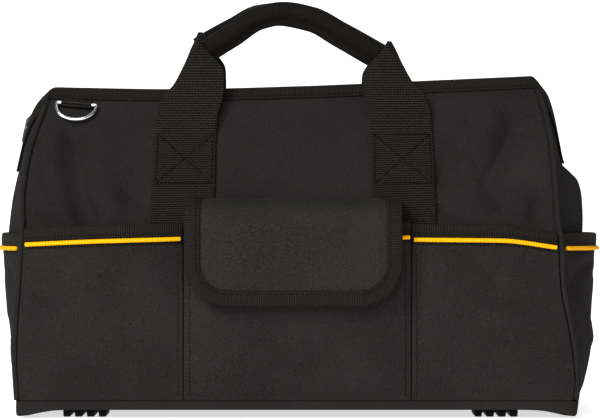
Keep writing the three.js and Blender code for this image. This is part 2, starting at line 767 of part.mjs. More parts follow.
// Binding and yellow piping along the top row of a pocket's grid
function addPocket(name, grid, outward) {
  addPiece(name, cloth(grid, CLOTH, outward), BODY_CLOTH);
  const normals = gridNormals(grid);
  const top = grid[0].length - 1;
  const stations = grid.map((line, i) => {
    const isSewn = i === 0 || i === grid.length - 1;
    const normal = isSewn ? outward.clone() : normals[i][top].clone();
    if (normal.dot(outward) < 0) normal.negate();
    return { point: line[top], across: normal, along: line[top - 1].clone().sub(line[top]).normalize() };
  });
  addPiece(`${name}_binding`, sweep(stations, bindingSection(POCKET_TAPE_WIDTH, CLOTH)), BLACK_TAPE);
  const radius = YELLOW_CORD / 2;
  const points = stations.map(({ point, across, along }) =>
    move(move(point, across, 2 * GAP + radius), along, POCKET_TAPE_WIDTH + GAP + radius),
  );
  points[0].lerp(points[1], radius / points[0].distanceTo(points[1]));
  points.at(-1).lerp(points.at(-2), radius / points.at(-1).distanceTo(points.at(-2)));
  addPiece(`${name}_piping`, cord(points, YELLOW_CORD, CORD_SIDES, vector(0, 0, 1)), YELLOW);
}

const outFront = vector(0, -1, 0);
const outBack = vector(0, 1, 0);
const sidePocket = { face: FRONT, stand: POCKET_STAND, squareness: 2.6, columns: 7 };
const dividerGap = 2 * GAP;
addPocket(
  "front_left_pocket",
  pocketGrid({ ...sidePocket, from: LEFT, to: DIVIDER_LEFT - dividerGap, tops: POCKET_TOPS.left }),
  outFront,
);
addPocket(
  "front_centre_pocket",
  pocketGrid({
    face: FRONT,
    from: DIVIDER_LEFT,
    to: DIVIDER_RIGHT,
    tops: POCKET_TOPS.centre,
    stand: CENTRE_STAND,
    squareness: 5,
    columns: 12,
  }),
  outFront,
);
addPocket(
  "front_right_pocket",
  pocketGrid({ ...sidePocket, from: DIVIDER_RIGHT + dividerGap, to: RIGHT, tops: POCKET_TOPS.right }),
  outFront,
);
addPocket(
  "back_pocket",
  pocketGrid({
    face: BACK,
    from: LEFT,
    to: RIGHT,
    tops: POCKET_TOPS.back,
    stand: CENTRE_STAND,
    squareness: 4,
    columns: 14,
  }),
  outBack,
);

// End pocket: follows the bowed end and stands off it
function endPocketGrid(side) {
  const across = sideAcross(side);
  const stand = side === LEFT ? LEFT_POCKET_STAND : RIGHT_POCKET_STAND;
  return steps(12).map((t) => {
    const bulge = 1 - Math.abs(2 * t - 1) ** 3;
    return POCKET_ROWS.map((row) => {
      const height = THREE.MathUtils.lerp(SEAM_HEIGHT, END_POCKET_HEIGHT, row);
      const up = upAt(height, across);
      const piping = Math.abs(wallPoint(FRONT, across, up, cordLift(up)).y);
      const reach = piping - SEAM_CORD / 2 - 4 * GAP;
      const y = THREE.MathUtils.lerp(-reach, reach, t);
      const open = row === 0 ? 0 : 0.3 + 0.7 * Math.sqrt(row);
      const lift = 3 * GAP + CLOTH + stand * bulge * open;
      return vector(endX(side, y, up) + side * lift, y, height);
    });
  });
}

for (const side of [LEFT, RIGHT]) {
  const name = side === LEFT ? "left_end_pocket" : "right_end_pocket";
  addPocket(name, endPocketGrid(side), vector(side, 0, 0));
}

// Flap over the centre pocket

const FLAP_ROWS = [0, 0.13, 0.26, 0.4, 0.55, 0.7, 0.8, 0.88, 0.95, 1];

// Half width of the flap at a share of the way down: full, then round to the free edge
function flapHalf(down) {
  const left = (1 - down) * FLAP_DROP;
  const into = Math.max(FLAP_CORNER - left, 0);
  return FLAP_WIDTH / 2 - FLAP_CORNER + Math.sqrt(FLAP_CORNER ** 2 - into ** 2);
}

function flapGrid() {
  const up = upAt(FLAP_TOP, 0.5);
  const edgeRise = FLAP_CLOTH * wallNormal(FRONT, 0.5, up).z; // its cut edge stands on the straps that it crosses
  const fold = wallPoint(FRONT, 0.5, up, POCKET_LIFT + edgeRise + GAP);
  const deepest = HALF_DEPTH + FLAP_STAND;
  return FLAP_ROWS.map((down) => {
    const out = readTable(FLAP_LINE, "down", "out", down);
    const drop = readTable(FLAP_LINE, "down", "drop", down);
    const y = THREE.MathUtils.lerp(fold.y, -deepest, out);
    const z = fold.z - FLAP_DROP * drop;
    const half = flapHalf(drop);
    return steps(10).map((t) => vector(FLAP_MIDDLE + half * (2 * t - 1), y, z));
  });
}

const flapSheet = flapGrid();
addPiece("flap", cloth(flapSheet, FLAP_CLOTH, outFront), BODY_CLOTH);

// The flap's tape runs down one side, along the free edge and up the other
function flapTapeStations() {
  const normals = gridNormals(flapSheet);
  const last = flapSheet.length - 1;
  const columns = flapSheet[0].length - 1;
  const border = [];
  for (let i = 0; i <= last; i += 1) border.push([i, 0]);
  for (let j = 1; j < columns; j += 1) border.push([last, j]);
  for (let i = last; i >= 0; i -= 1) border.push([i, columns]);
  const edge = border.map(([i, j]) => flapSheet[i][j]);
  return edge.map((point, k) => {
    const [i, j] = border[k];
    const normal = normals[i][j].clone();
    if (normal.y > 0) normal.negate();
    const tangent = edge[Math.min(k + 1, edge.length - 1)].clone().sub(edge[Math.max(k - 1, 0)]).normalize();
    return { point, across: normal, along: normal.clone().cross(tangent).normalize() };
  });
}

const flapTape = sweep(flapTapeStations(), bindingSection(FLAP_TAPE_WIDTH, FLAP_CLOTH));
addPiece("flap_binding", flapTape, BLACK_TAPE);

// Handles

const WALL_LEAVE_ROWS = WALL_ROWS.filter((up) => up > 0.5 && up < STRAP_LEAVE);

// Height of the middle of the grip along its length, and its x
const gripX = (along) => GRIP_MIDDLE + GRIP_LENGTH * (along - 0.5);
const gripZ = (along) => GRIP_HEIGHT - GRIP_RISE * (1 - readTable(GRIP_LINE, "along", "height", along));
const LEG_TOP = GRIP_HEIGHT - GRIP_RISE + GRIP_RADIUS;

// A strap lies flat on the wall, leaves it and narrows to the folded end that lies against the grip
function strapGrid(face, side) {
  const middle = side === LEFT ? STRAP_LEFT : STRAP_RIGHT;
  const rows = [];
  const tuck = upAt(POCKET_HEIGHT - STRAP_TUCK, 0.5);
  const lift = GAP + WEBBING;
  const edges = [-1, 1].map((edge) => middle + (edge * WEBBING_WIDTH) / 2);
  for (const up of [tuck, ...WALL_LEAVE_ROWS, STRAP_LEAVE]) {
    const tucked = up === tuck ? GAP : 0;
    rows.push(
      edges.map((x) => {
        const point = wallPoint(face, acrossAt(x, up), up, lift + tucked);
        point.x = x;
        return point;
      }),
    );
  }
  const leave = rows.at(-1)[0];
  const legOff = Math.abs(leave.y);
  const gripOff = GRIP_OFFSET + GRIP_RADIUS + GAP + WEBBING;
  for (const row of LEG_LINE) {
    const height = THREE.MathUtils.lerp(leave.z, LEG_TOP, row.up);
    const y = face * THREE.MathUtils.lerp(gripOff, legOff, row.off);
    const outer = middle + (side === LEFT ? row.outer : -row.outer) * (WEBBING_WIDTH / 2);
    const inner = middle + (side === LEFT ? row.inner : -row.inner) * (WEBBING_WIDTH / 2);
    rows.push([vector(Math.min(outer, inner), y, height), vector(Math.max(outer, inner), y, height)]);
  }
  return rows;
}

function gripStations(face) {
  const points = steps(12).map((t) => vector(gripX(t), face * GRIP_OFFSET, gripZ(t)));
  return points.map((point, i) => {
    const ahead = points[Math.min(i + 1, points.length - 1)];
    const tangent = ahead.clone().sub(points[Math.max(i - 1, 0)]).normalize();
    return { point, across: vector(0, 1, 0), along: tangent.clone().cross(vector(0, 1, 0)) };
  });
}

const gripSection = GRIP_SECTION.map(({ side, up }) => {
  const flange = up === -1 ? -GRIP_FLANGE : 0;
  return [side * GRIP_RADIUS, up * GRIP_RADIUS + flange];
});

for (const face of [FRONT, BACK]) {
  const word = face === FRONT ? "front" : "back";
  for (const side of [LEFT, RIGHT]) {
    const name = `${word}_handle_${side === LEFT ? "left" : "right"}_strap`;
    addPiece(name, cloth(strapGrid(face, side), WEBBING, vector(0, face, 0)), BLACK_TAPE);
  }
  addPiece(`${word}_handle_grip`, sweep(gripStations(face), gripSection), BLACK_TAPE);
}

// Ring in its webbing loop, on the roof below the rim tape

// Frame of the loop on the roof: along the bar, away from the roof and down the slope
function loopFrame() {
  const across = acrossAt(seamAt(LEFT, 1) + RING_INSET, 1);
  const top = wallPoint(FRONT, across, 1);
  const normal = wallNormal(FRONT, across, 0.95);
  const down = vector(1, 0, 0).cross(normal);
  const tilt = THREE.MathUtils.degToRad(-RING_TILT);
  const slope = down.clone().applyAxisAngle(normal, tilt);
  const bar = normal.clone().cross(slope).normalize();
  const drop = RIM_TAPE_WIDTH + LOOP_DROP + (LOOP_WIDTH / 2) * Math.sin(Math.abs(tilt));
  const origin = move(top, down, drop);
  return { origin, bar, normal, slope };
}

const ring = loopFrame();
const wire = RING_WIRE / 2;
const eye = wire + GAP; // radius of the hole in the loop
const eyeOut = GAP + LOOP_WALL + eye; // its middle above the roof
const eyeDown = LOOP_TAIL + LOOP_WALL + eye;

function loopGeometry() {
  const shape = new THREE.Shape();
  shape.moveTo(GAP, 0);
  shape.lineTo(GAP + 2 * LOOP_WALL, 0);
  shape.absarc(eyeOut, eyeDown, eye + LOOP_WALL, -Math.PI / 3, Math.PI / 2, false);
  shape.lineTo(eyeOut - 1, eyeDown + eye + LOOP_WALL);
  shape.lineTo(GAP, eyeDown + 1);
  const hole = new THREE.Path();
  hole.absarc(eyeOut, eyeDown, eye, 0, 2 * Math.PI, true);
  shape.holes.push(hole);
  const options = { depth: LOOP_WIDTH, bevelEnabled: false, curveSegments: 5 };
  const geometry = new THREE.ExtrudeGeometry(shape, options);
  geometry.translate(0, 0, -LOOP_WIDTH / 2);
  return geometry;
}

const loopBasis = new THREE.Matrix4().makeBasis(ring.normal, ring.slope, ring.bar);
const loop = addPiece("ring_loop", loopGeometry(), BLACK_TAPE);
loop.quaternion.setFromRotationMatrix(loopBasis);
loop.position.copy(ring.origin);

// The ring hangs down the roof from its bar, and leans so that its far side lies just off the cloth
function ringStations() {
  const half = (RING_WIDTH - RING_WIRE) / 2;
  const reach = RING_DEPTH - RING_WIRE;
  const lean = Math.asin((eyeOut - wire - 2 * GAP) / reach);
  const outward = ring.normal.clone().multiplyScalar(-Math.sin(lean));
  const away = ring.slope.clone().multiplyScalar(Math.cos(lean)).add(outward);
  const middle = move(move(ring.origin, ring.normal, eyeOut), ring.slope, eyeDown);
  const flat = [
    ...steps(10).map((t) => [half * Math.cos(Math.PI * t), reach * Math.sin(Math.PI * t) ** 0.8]),
    [-half * 0.4, 0],
    [half * 0.4, 0],
  ];
  const points = flat.map(([a, b]) => move(move(middle, ring.bar, a), away, b));
  const face = away.clone().cross(ring.bar).normalize();
  return points.map((point, i) => {
    const tangent = points[(i + 1) % points.length].clone().sub(points.at(i - 1)).normalize();
    return { point, across: face, along: tangent.clone().cross(face).normalize() };
  });
}

addPiece("d_ring", sweep(ringStations(), circle(wire, 7), true), STEEL);

// The model stands on z = 0 with the middle of its footprint at the origin
bag.updateMatrixWorld(true);
const extent = new THREE.Box3().setFromObject(bag, true);
const centre = extent.getCenter(new THREE.Vector3());
bag.position.set(-centre.x, -centre.y, -extent.min.z);

export default bag;
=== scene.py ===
"""The looks of a soft work bag: cloth walls, bound pockets with yellow piping, webbing handles, a ring and feet.

Lengths are in millimetres in the part's own coordinates until a mesh is made, and then in metres.
"""

import bpy
import numpy as np
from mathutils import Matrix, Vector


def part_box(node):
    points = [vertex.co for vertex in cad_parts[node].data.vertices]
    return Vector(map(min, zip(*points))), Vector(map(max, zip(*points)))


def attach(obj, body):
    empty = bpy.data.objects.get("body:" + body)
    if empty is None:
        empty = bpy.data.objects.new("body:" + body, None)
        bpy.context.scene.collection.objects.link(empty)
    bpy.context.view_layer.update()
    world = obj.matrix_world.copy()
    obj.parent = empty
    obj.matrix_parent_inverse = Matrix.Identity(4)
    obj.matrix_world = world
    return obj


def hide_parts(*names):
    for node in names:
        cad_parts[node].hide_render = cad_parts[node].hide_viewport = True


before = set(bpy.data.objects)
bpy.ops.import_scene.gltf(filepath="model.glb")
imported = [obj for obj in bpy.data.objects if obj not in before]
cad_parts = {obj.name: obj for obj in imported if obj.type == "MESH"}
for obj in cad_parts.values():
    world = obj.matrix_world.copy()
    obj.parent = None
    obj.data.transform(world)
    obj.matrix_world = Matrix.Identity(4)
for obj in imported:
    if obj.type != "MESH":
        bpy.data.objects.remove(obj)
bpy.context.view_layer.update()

bl_info = {
    "name": "Work Bag Looks",
    "version": (1, 0, 0),
    "blender": (4, 2, 0),
    "location": "3D View > Sidebar > Work Bag",
    "description": "Builds the cloth, tape, webbing, piping and metal of a soft work bag",
    "category": "Add Mesh",
}

MM = 0.001
FRONT, BACK = -1, 1
LEFT, RIGHT = -1, 1
FACE_WORD = {FRONT: "front", BACK: "back"}
SIDE_WORD = {LEFT: "left", RIGHT: "right"}
# Share across a wall at which a side's seam lies
SEAM_ACROSS = {LEFT: 0.0, RIGHT: 1.0}

# Body
GAP = 0.3
CLOTH = 2.2
BODY_LENGTH = 434.0
HALF_LENGTH = BODY_LENGTH / 2
HALF_DEPTH = 104.0
RIM_HEIGHT = 264.0
SHOULDER_HEIGHT = 145.0
SHOULDER_ROUND = 7.0
RIDGE_HALF = 8.0
WALL_FLARE = 2.5
FLARE_REACH = 9.0
SEAM_HEIGHT = 14.0
SLIT_SHARE = 0.7
SLIT_HALF = 7.0
RIM_TAPE_END = 0.72

# Base and feet
BASE_UNDERSIDE = 6.6
CORNER_DROOP = 5.0
CORNER_REACH = 17.0
BASE_ROUND = 5.0
FOOT_LENGTH = 34.0
FOOT_WIDTH = 33.0
FOOT_RIB = 3.8
FOOT_RIBS = 4
FOOT_INSET = 27.0
FOOT_LEFT = -170.0
FOOT_RIGHT = 155.0
FOOT_ROUND = 1.1
FOOT_GROOVE = (0.54, 0.66, 0.94)

# Tapes and pipings
TAPE = 1.2
RIM_GAP = 0.9
RIM_TAPE_WIDTH = 12.0
POCKET_TAPE_WIDTH = 9.0
FLAP_TAPE_WIDTH = 10.5
SEAM_CORD = 4.4
SEAM_CORD_TOP = 0.965
SEAM_FLANGE = 1.6
YELLOW_CORD = 3.4
STITCH_INSET = 2.7

# Stitches: width and rise, with the pitch and length before them where the settings don't give those
TAPE_STITCH = (0.75, 0.42)
EDGE_STITCH = (0.6, 0.35)
DIVIDER_STITCH = (3.4, 2.5, 0.6, 0.35)
STRAP_STITCH = (3.0, 2.9, 1.3, 0.5)
GRIP_STITCH = (3.2, 2.5, 0.8, 0.45)

# Pockets
WEBBING = 2.0
POCKET_LIFT = 2 * GAP + WEBBING
POCKET_HEIGHT = 152.0
POCKET_STAND = 7.0
CENTRE_STAND = 11.0
END_POCKET_HEIGHT = 143.5
LEFT_POCKET_STAND = 1.0
RIGHT_POCKET_STAND = 6.0
DIVIDER_LEFT = -91.0
DIVIDER_RIGHT = 87.0

# Flap
FLAP_CLOTH = 3.0
FLAP_WIDTH = 166.0
FLAP_MIDDLE = -5.0
FLAP_TOP = 168.5
FLAP_DROP = 81.0
FLAP_STAND = 24.0
FLAP_CORNER = 32.0

# Zip
ZIP_WIDTH = 9.0
ZIP_TAPE = 1.4
TOOTH = (1.9, 1.5, 2.6, 0.75)
TEETH_APART = 1.8
TEETH_LIFT = 0.45
SLIDER_LENGTH = 11.0
SLIDER_WIDTH = 7.0
SLIDER_LIFT = 1.2
SLIDER_BRIDGE = 3.2
PULL_LENGTH = 17.0
PULL_WALL = 0.9
ZIP_TUCK = 2.0
SLIDER_STATION = 7

# Handles
WEBBING_WIDTH = 50.0
STRAP_LEFT = -93.0
STRAP_RIGHT = 82.7
STRAP_MIDDLE = {LEFT: STRAP_LEFT, RIGHT: STRAP_RIGHT}
STRAP_TUCK = 8.0
STRAP_LEAVE = 0.84
GRIP_OFFSET = 9.6
GRIP_RADIUS = 8.0
GRIP_LENGTH = 150.0
GRIP_MIDDLE = -6.0
GRIP_HEIGHT = 328.0
GRIP_RISE = 31.0
GRIP_TUCK = 0.03
APEX_DROP = 2.8
BACK_LIFT = 8.0
BOX_LOW = 183.5
BOX_HIGH = 223.5
BOX_INSET = 2.6

# Ring and its loop
RING_WIRE = 3.2
RING_WIDTH = 36.0
RING_DEPTH = 19.0
RING_INSET = 19.46
RING_TILT = 6.0
LOOP_WIDTH = 25.0
LOOP_WALL = 1.5
LOOP_TAIL = 1.6
LOOP_DROP = 0.8

# Camera and, in metres, the floor and the lights
CAMERA_DISTANCE = 1861.7
CAMERA_HEIGHT = 163.4
CAMERA_FOCAL = 134.6
SENSOR = 36.0
FLOOR_REACH = 4.0
FLOOR_BACK = 2.0
FLOOR_BEND = 1.5
BACKDROP_TOP = 4.5
FLOOR_GLOW = 0.66
LIGHT_AIM = (0, 0, 0.15)
# Name, place and size of each light
LIGHTS = (
    ("key", (-1.6, -2.1, 1.9), (1.0, 1.0)),
    ("fill", (-0.5, -2.9, 1.4), (1.4, 1.2)),
    ("top", (0.1, 0.1, 2.0), (2.2, 1.6)),
)

# Corner seams and middle lines of the ends, at shares of the way up, as shares of half the length
SEAM_UP = (0, 0.05, 0.12, 0.23, 0.35, 0.47, 0.54, 0.65, 0.75, 0.85, 0.93, 1)
SEAM_LEFT = (1.011, 1.016, 1.02, 1.017, 1.007, 0.999, 0.996, 1.007, 1.002, 0.982, 0.957, 0.933)
SEAM_RIGHT = (0.985, 0.992, 0.987, 0.967, 0.94, 0.933, 0.926, 0.929, 0.93, 0.919, 0.903, 0.882)
END_UP = (0, 0.12, 0.33, 0.5, 0.62, 0.67, 0.7, 0.725, 0.8, 0.88, 0.94, 0.975, 1)
END_LEFT = (1.05, 1.078, 1.102, 1.109, 1.097, 1.087, 1.08, 1.073, 1.056, 1.036, 1.01, 0.982, 0.943)
END_RIGHT = (1.036, 1.065, 1.078, 1.081, 1.076, 1.062, 1.03, 1.0, 0.982, 0.965, 0.946, 0.919, 0.889)

# Ridge height at shares of the way across, as shares of the rim height
RIM_ACROSS = (0, 0.24, 0.51, 0.76, 1)
RIM_SHARE = (0.998, 0.992, 1.001, 1.017, 1.033)

# Folds of the front wall: from and to in shares across and up, depth in millimetres inwards, spread in millimetres
FRONT_FOLDS = (
    {"across": 0.0625, "up": 0.875, "to_across": 0.115, "to_up": 0.585, "depth": 8.0, "spread": 11.0},
    {"across": 0.115, "up": 0.86, "to_across": 0.16, "to_up": 0.6, "depth": -3.5, "spread": 12.0},
    {"across": 0.075, "up": 0.84, "to_across": 0.125, "to_up": 0.6, "depth": 2.0, "spread": 4.0},
    {"across": 0.03, "up": 0.6, "to_across": 0.075, "to_up": 0.565, "depth": 2.0, "spread": 4.5},
    {"across": 0.19, "up": 0.66, "to_across": 0.235, "to_up": 0.6, "depth": 1.6, "spread": 6.0},
    {"across": 0.95, "up": 0.87, "to_across": 0.895, "to_up": 0.64, "depth": 6.5, "spread": 14.0},
    {"across": 0.9, "up": 0.88, "to_across": 0.84, "to_up": 0.74, "depth": -3.0, "spread": 9.0},
    {"across": 0.86, "up": 0.88, "to_across": 0.79, "to_up": 0.7, "depth": 4.0, "spread": 9.0},
    {"across": 0.93, "up": 0.84, "to_across": 0.87, "to_up": 0.68, "depth": 2.0, "spread": 4.0},
    {"across": 0.975, "up": 0.62, "to_across": 0.965, "to_up": 0.55, "depth": 6.0, "spread": 10.0},
    {"across": 0.78, "up": 0.6, "to_across": 0.83, "to_up": 0.565, "depth": 2.4, "spread": 5.0},
)

# Folds of the pockets: from and to along the pocket and up, depth inwards and spread, in millimetres
POCKET_FOLDS = {
    "front_right_pocket": (
        {"x": 124.0, "z": 138.0, "to_x": 156.0, "to_z": 106.0, "depth": 2.2, "spread": 5.0},
        {"x": 112.0, "z": 128.0, "to_x": 140.0, "to_z": 96.0, "depth": -1.2, "spread": 9.0},
    ),
    "front_left_pocket": (
        {"x": -190.0, "z": 128.0, "to_x": -176.0, "to_z": 80.0, "depth": 1.6, "spread": 9.0},
        {"x": -205.0, "z": 96.0, "to_x": -190.0, "to_z": 86.0, "depth": 1.8, "spread": 4.0},
    ),
    "right_end_pocket": (
        {"x": -88.0, "z": 104.0, "to_x": -40.0, "to_z": 132.0, "depth": 5.0, "spread": 9.0},
        {"x": -88.0, "z": 96.0, "to_x": -50.0, "to_z": 60.0, "depth": -3.5, "spread": 11.0},
    ),
    "left_end_pocket": (
        {"x": -88.0, "z": 104.0, "to_x": -40.0, "to_z": 128.0, "depth": 3.5, "spread": 9.0},
        {"x": -80.0, "z": 76.0, "to_x": -30.0, "to_z": 60.0, "depth": 2.5, "spread": 10.0},
    ),
}

# Pocket tops at shares of the way across, as shares of the pocket height
LEFT_TOP = ((0, 0.4, 1), (0.969, 0.985, 0.999))
CENTRE_TOP = ((0, 0.5, 1), (0.999, 1.003, 1.007))
RIGHT_TOP = ((0, 0.6, 1), (0.995, 0.991, 0.952))
BACK_TOP = ((0, 0.5, 1), (0.965, 1, 0.965))

# Stations down half an end: shares up on the corner seam and on the edge of the slit
END_SEAM = (0.93, 0.86, 0.76, 0.66, 0.56, 0.5, 0.35, 0.16, 0.06, 0)
END_SLIT = (0.975, 0.94, 0.89, 0.83, 0.78, 0.75, 0.725, 0.712, 0.705, SLIT_SHARE)
END_BOTTOM = (-0.6, -0.2, 0.2, 0.6)

# Flap from its fold to its free edge: how far out and how far down, as shares
FLAP_DOWN = (0, 0.12, 0.24, 0.36, 0.48, 0.6, 0.75, 0.88, 1)
FLAP_OUT = (0, 0.34, 0.68, 0.93, 1.02, 1.03, 1.03, 1.02, 1)
FLAP_FALL = (0, 0, 0.03, 0.09, 0.19, 0.37, 0.6, 0.81, 1)

# Strap above the wall: shares of the rise, distance from the grip, and its edges in half widths
LEG_UP = (0, 0.2, 0.37, 0.52, 0.66, 0.78, 0.9, 1)
LEG_OFF = (1, 0.72, 0.42, 0.2, 0.07, 0.02, 0, 0)
LEG_OUTER = (-1, -0.95, -0.84, -0.44, -0.2, -0.02, 0.14, 0.3)
LEG_INNER = (1, 1.03, 1.18, 1.24, 1.22, 0.95, 0.6, 0.44)

# Middle line of a grip along its length, as shares of its rise
GRIP_ALONG = (0, 0.16, 0.31, 0.45, 0.61, 0.78, 1)
GRIP_SHARE = (-0.08, 0.4, 0.87, 1, 0.86, 0.42, -0.18)

# Right half of a grip's section, in grip radii: a tube that draws in to a stitched edge
GRIP_SIDE = (0, 0.38, 0.71, 0.93, 1, 0.96, 0.8, 0.52, 0.31, 0.27, 0.25, 0.16)
GRIP_UP = (1, 0.93, 0.71, 0.38, 0, -0.33, -0.62, -0.87, -1.03, -1.2, -1.42, -1.5)

foot_low, foot_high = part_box("front_left_foot")
# From the part's own coordinates to the frame, read off a foot whose place is known in both
SHIFT = np.array(
    [
        (foot_low.x + foot_high.x) / 2 / MM - FOOT_LEFT,
        (foot_low.y + foot_high.y) / 2 / MM + HALF_DEPTH - FOOT_INSET,
        0.0,
    ]
)


# Numbers and vectors


def read(places, values, at):
    """Value of a row of numbers at places between them: a cubic between neighbours whose slope at each is the
    harmonic mean of the two chords beside it, so it never overshoots."""
    x = np.asarray(places, float)
    y = np.asarray(values, float)
    chord = np.diff(y) / np.diff(x)
    product = chord[:-1] * chord[1:]
    total = chord[:-1] + chord[1:]
    middle = np.where(product <= 0, 0, 2 * product / np.where(total == 0, 1, total))
    slope = np.concatenate([chord[:1], middle, chord[-1:]])
    at = np.asarray(at, float)
    row = np.clip(np.searchsorted(x, at) - 1, 0, len(x) - 2)
    width = x[row + 1] - x[row]
    t = np.clip((at - x[row]) / width, 0, 1)
    start = y[row] * (1 + 2 * t) * (1 - t) ** 2 + slope[row] * width * t * (1 - t) ** 2
    return start + y[row + 1] * t * t * (3 - 2 * t) + slope[row + 1] * width * t * t * (t - 1)


def smoothstep(value, low, high):
    """0 below low, 1 above high and the cubic 3t^2 - 2t^3 between them."""
    t = np.clip((np.asarray(value, float) - low) / (high - low), 0, 1)
    return t * t * (3 - 2 * t)


def mix(start, end, share):
    return start + (end - start) * share


def unit(vectors):
    return vectors / np.maximum(np.linalg.norm(vectors, axis=-1, keepdims=True), 1e-12)


def stack(x, y, z):
    return np.stack(np.broadcast_arrays(x, y, z), axis=-1).astype(float)


def ripple(a, b, wave, seed):
    """Unevenness of cloth: the mean of sixteen plane waves of about one length in random directions."""
    random = np.random.default_rng(seed)
    turn = random.uniform(0, np.pi, 16)
    start = random.uniform(0, 2 * np.pi, 16)
    length = wave * random.uniform(0.7, 1.6, 16)
    a, b = np.broadcast_arrays(a, b)
    along = a[..., None] * np.cos(turn) + b[..., None] * np.sin(turn)
    return np.cos(2 * np.pi * along / length + start).sum(-1) / 8


def crease(a, b, wave, seed):
    """Soft creases: 0 on the cloth and down to -1 along the lines where the ripple changes sign."""
    return -np.exp(-((ripple(a, b, wave, seed) / 0.16) ** 2))


def grid_normals(grid):
    """Unit normals of a grid of points: its rows' direction crossed with its columns'."""
    return unit(np.cross(np.gradient(grid, axis=0), np.gradient(grid, axis=1)))


def run_length(points):
    """Length of the way along a row of points up to each of them."""
    steps = np.linalg.norm(np.diff(points, axis=0), axis=-1)
    return np.concatenate([[0.0], np.cumsum(steps)])


def resample(columns, length, step):
    """Rows of numbers read again at even steps of the length run along them."""
    count = max(int(round(length[-1] / step)), 2)
    at = np.linspace(0, length[-1], count + 1)
    return np.stack([read(length, column, at) for column in columns.T], axis=-1)


# Meshes: a part is its points and patches of faces, each patch with the faces' corners in the cloth's own metres


def grid_quads(rows, columns, rings=False, tubes=False):
    """Quads of a grid, whose rows close into a ring or whose columns close into a tube."""
    i = np.arange(rows if rings else rows - 1)[:, None]
    j = np.arange(columns if tubes else columns - 1)[None, :]
    below, beside = (i + 1) % rows, (j + 1) % columns
    corners = (i * columns + j, below * columns + j, below * columns + beside, i * columns + beside)
    return np.stack(np.broadcast_arrays(*corners), axis=-1).reshape(-1, 4)


def grid_corners(u, v):
    """Cloth coordinates of the quads' corners, from u and v on the whole grid, which has one more row or column
    where the mesh closes."""
    uv = np.stack(np.broadcast_arrays(u, v), axis=-1) * MM
    corners = (uv[:-1, :-1], uv[1:, :-1], uv[1:, 1:], uv[:-1, 1:])
    return np.stack(corners, axis=2).reshape(-1, 4, 2)


def turned_out(points, patches):
    """The part with its faces pointing outwards, which is when the sum of a . (b x c) over its triangles is above 0."""
    volume = 0.0
    for faces, _ in patches:
        for k in range(1, faces.shape[1] - 1):
            a, b, c = points[faces[:, 0]], points[faces[:, k]], points[faces[:, k + 1]]
            volume += np.einsum("ij,ij->i", a, np.cross(b, c)).sum()
    if volume < 0:
        patches = [(faces[:, ::-1], corners[:, ::-1]) for faces, corners in patches]
    return points, patches


def cloth_part(outer, inner, u, v):
    """Closed wall between an outer and an inner grid of points, joined by quads round the border."""
    rows, columns = outer.shape[:2]
    inside = rows * columns
    front = grid_quads(rows, columns)
    corners = grid_corners(u, v)
    index = np.arange(inside).reshape(rows, columns)
    border = np.concatenate([index[0, :-1], index[:-1, -1], index[-1, :0:-1], index[:0:-1, 0]])
    after = np.roll(border, -1)
    side = np.stack([border, after, after + inside, border + inside], axis=-1)
    flat = (np.stack(np.broadcast_arrays(u, v), axis=-1) * MM).reshape(-1, 2)
    side_corners = flat[side % inside]
    points = np.concatenate([outer.reshape(-1, 3), inner.reshape(-1, 3)])
    return turned_out(points, [(front, corners), (front[:, ::-1] + inside, corners[:, ::-1]), (side, side_corners)])


def sheet_part(grid, thickness, outward, u, v):
    """Wall of one thickness behind a grid of its outer face."""
    normals = grid_normals(grid)
    middle = normals[grid.shape[0] // 2, grid.shape[1] // 2]
    sign = 1 if np.dot(middle, outward) < 0 else -1
    return cloth_part(grid, grid + sign * thickness * normals, u, v)


def tape_part(points, across, along, face, back):
    """Tape carried along stations: its face and back are rows of places (out, in) of one size, joined at both ends."""
    section = np.concatenate([face, back[::-1]])
    count = len(section)
    grid = points[:, None] + across[:, None] * section[:, :1] + along[:, None] * section[:, 1:]
    u = run_length(points)[:, None]
    v = run_length(np.concatenate([section, section[:1]]))[None, :]
    sides = (grid_quads(len(points), count, tubes=True), grid_corners(u, v))
    half = len(face)
    j = np.arange(half - 1)
    start = np.stack([j, j + 1, count - 2 - j, count - 1 - j], axis=-1)
    end = start[:, ::-1] + (len(points) - 1) * count
    flat = np.broadcast_to(np.zeros(2), (half - 1, 4, 2))
    return turned_out(grid.reshape(-1, 3), [sides, (start, flat), (end, flat)])


def tube_part(grid, first, last, u, v):
    """Closed solid round rings of points: quads from ring to ring, and at each end a fan about its middle point."""
    rings, columns = grid.shape[:2]
    count = rings * columns
    j = np.arange(columns)
    beside = (j + 1) % columns
    far = count - columns
    near_fan = np.stack([j, beside, np.full(columns, count)], axis=-1)
    far_fan = np.stack([beside + far, j + far, np.full(columns, count + 1)], axis=-1)
    flat = np.zeros((columns, 3, 2))
    points = np.concatenate([grid.reshape(-1, 3), [first, last]])
    sides = (grid_quads(rings, columns, tubes=True), grid_corners(u, v))
    return turned_out(points, [sides, (near_fan, flat), (far_fan, flat)])


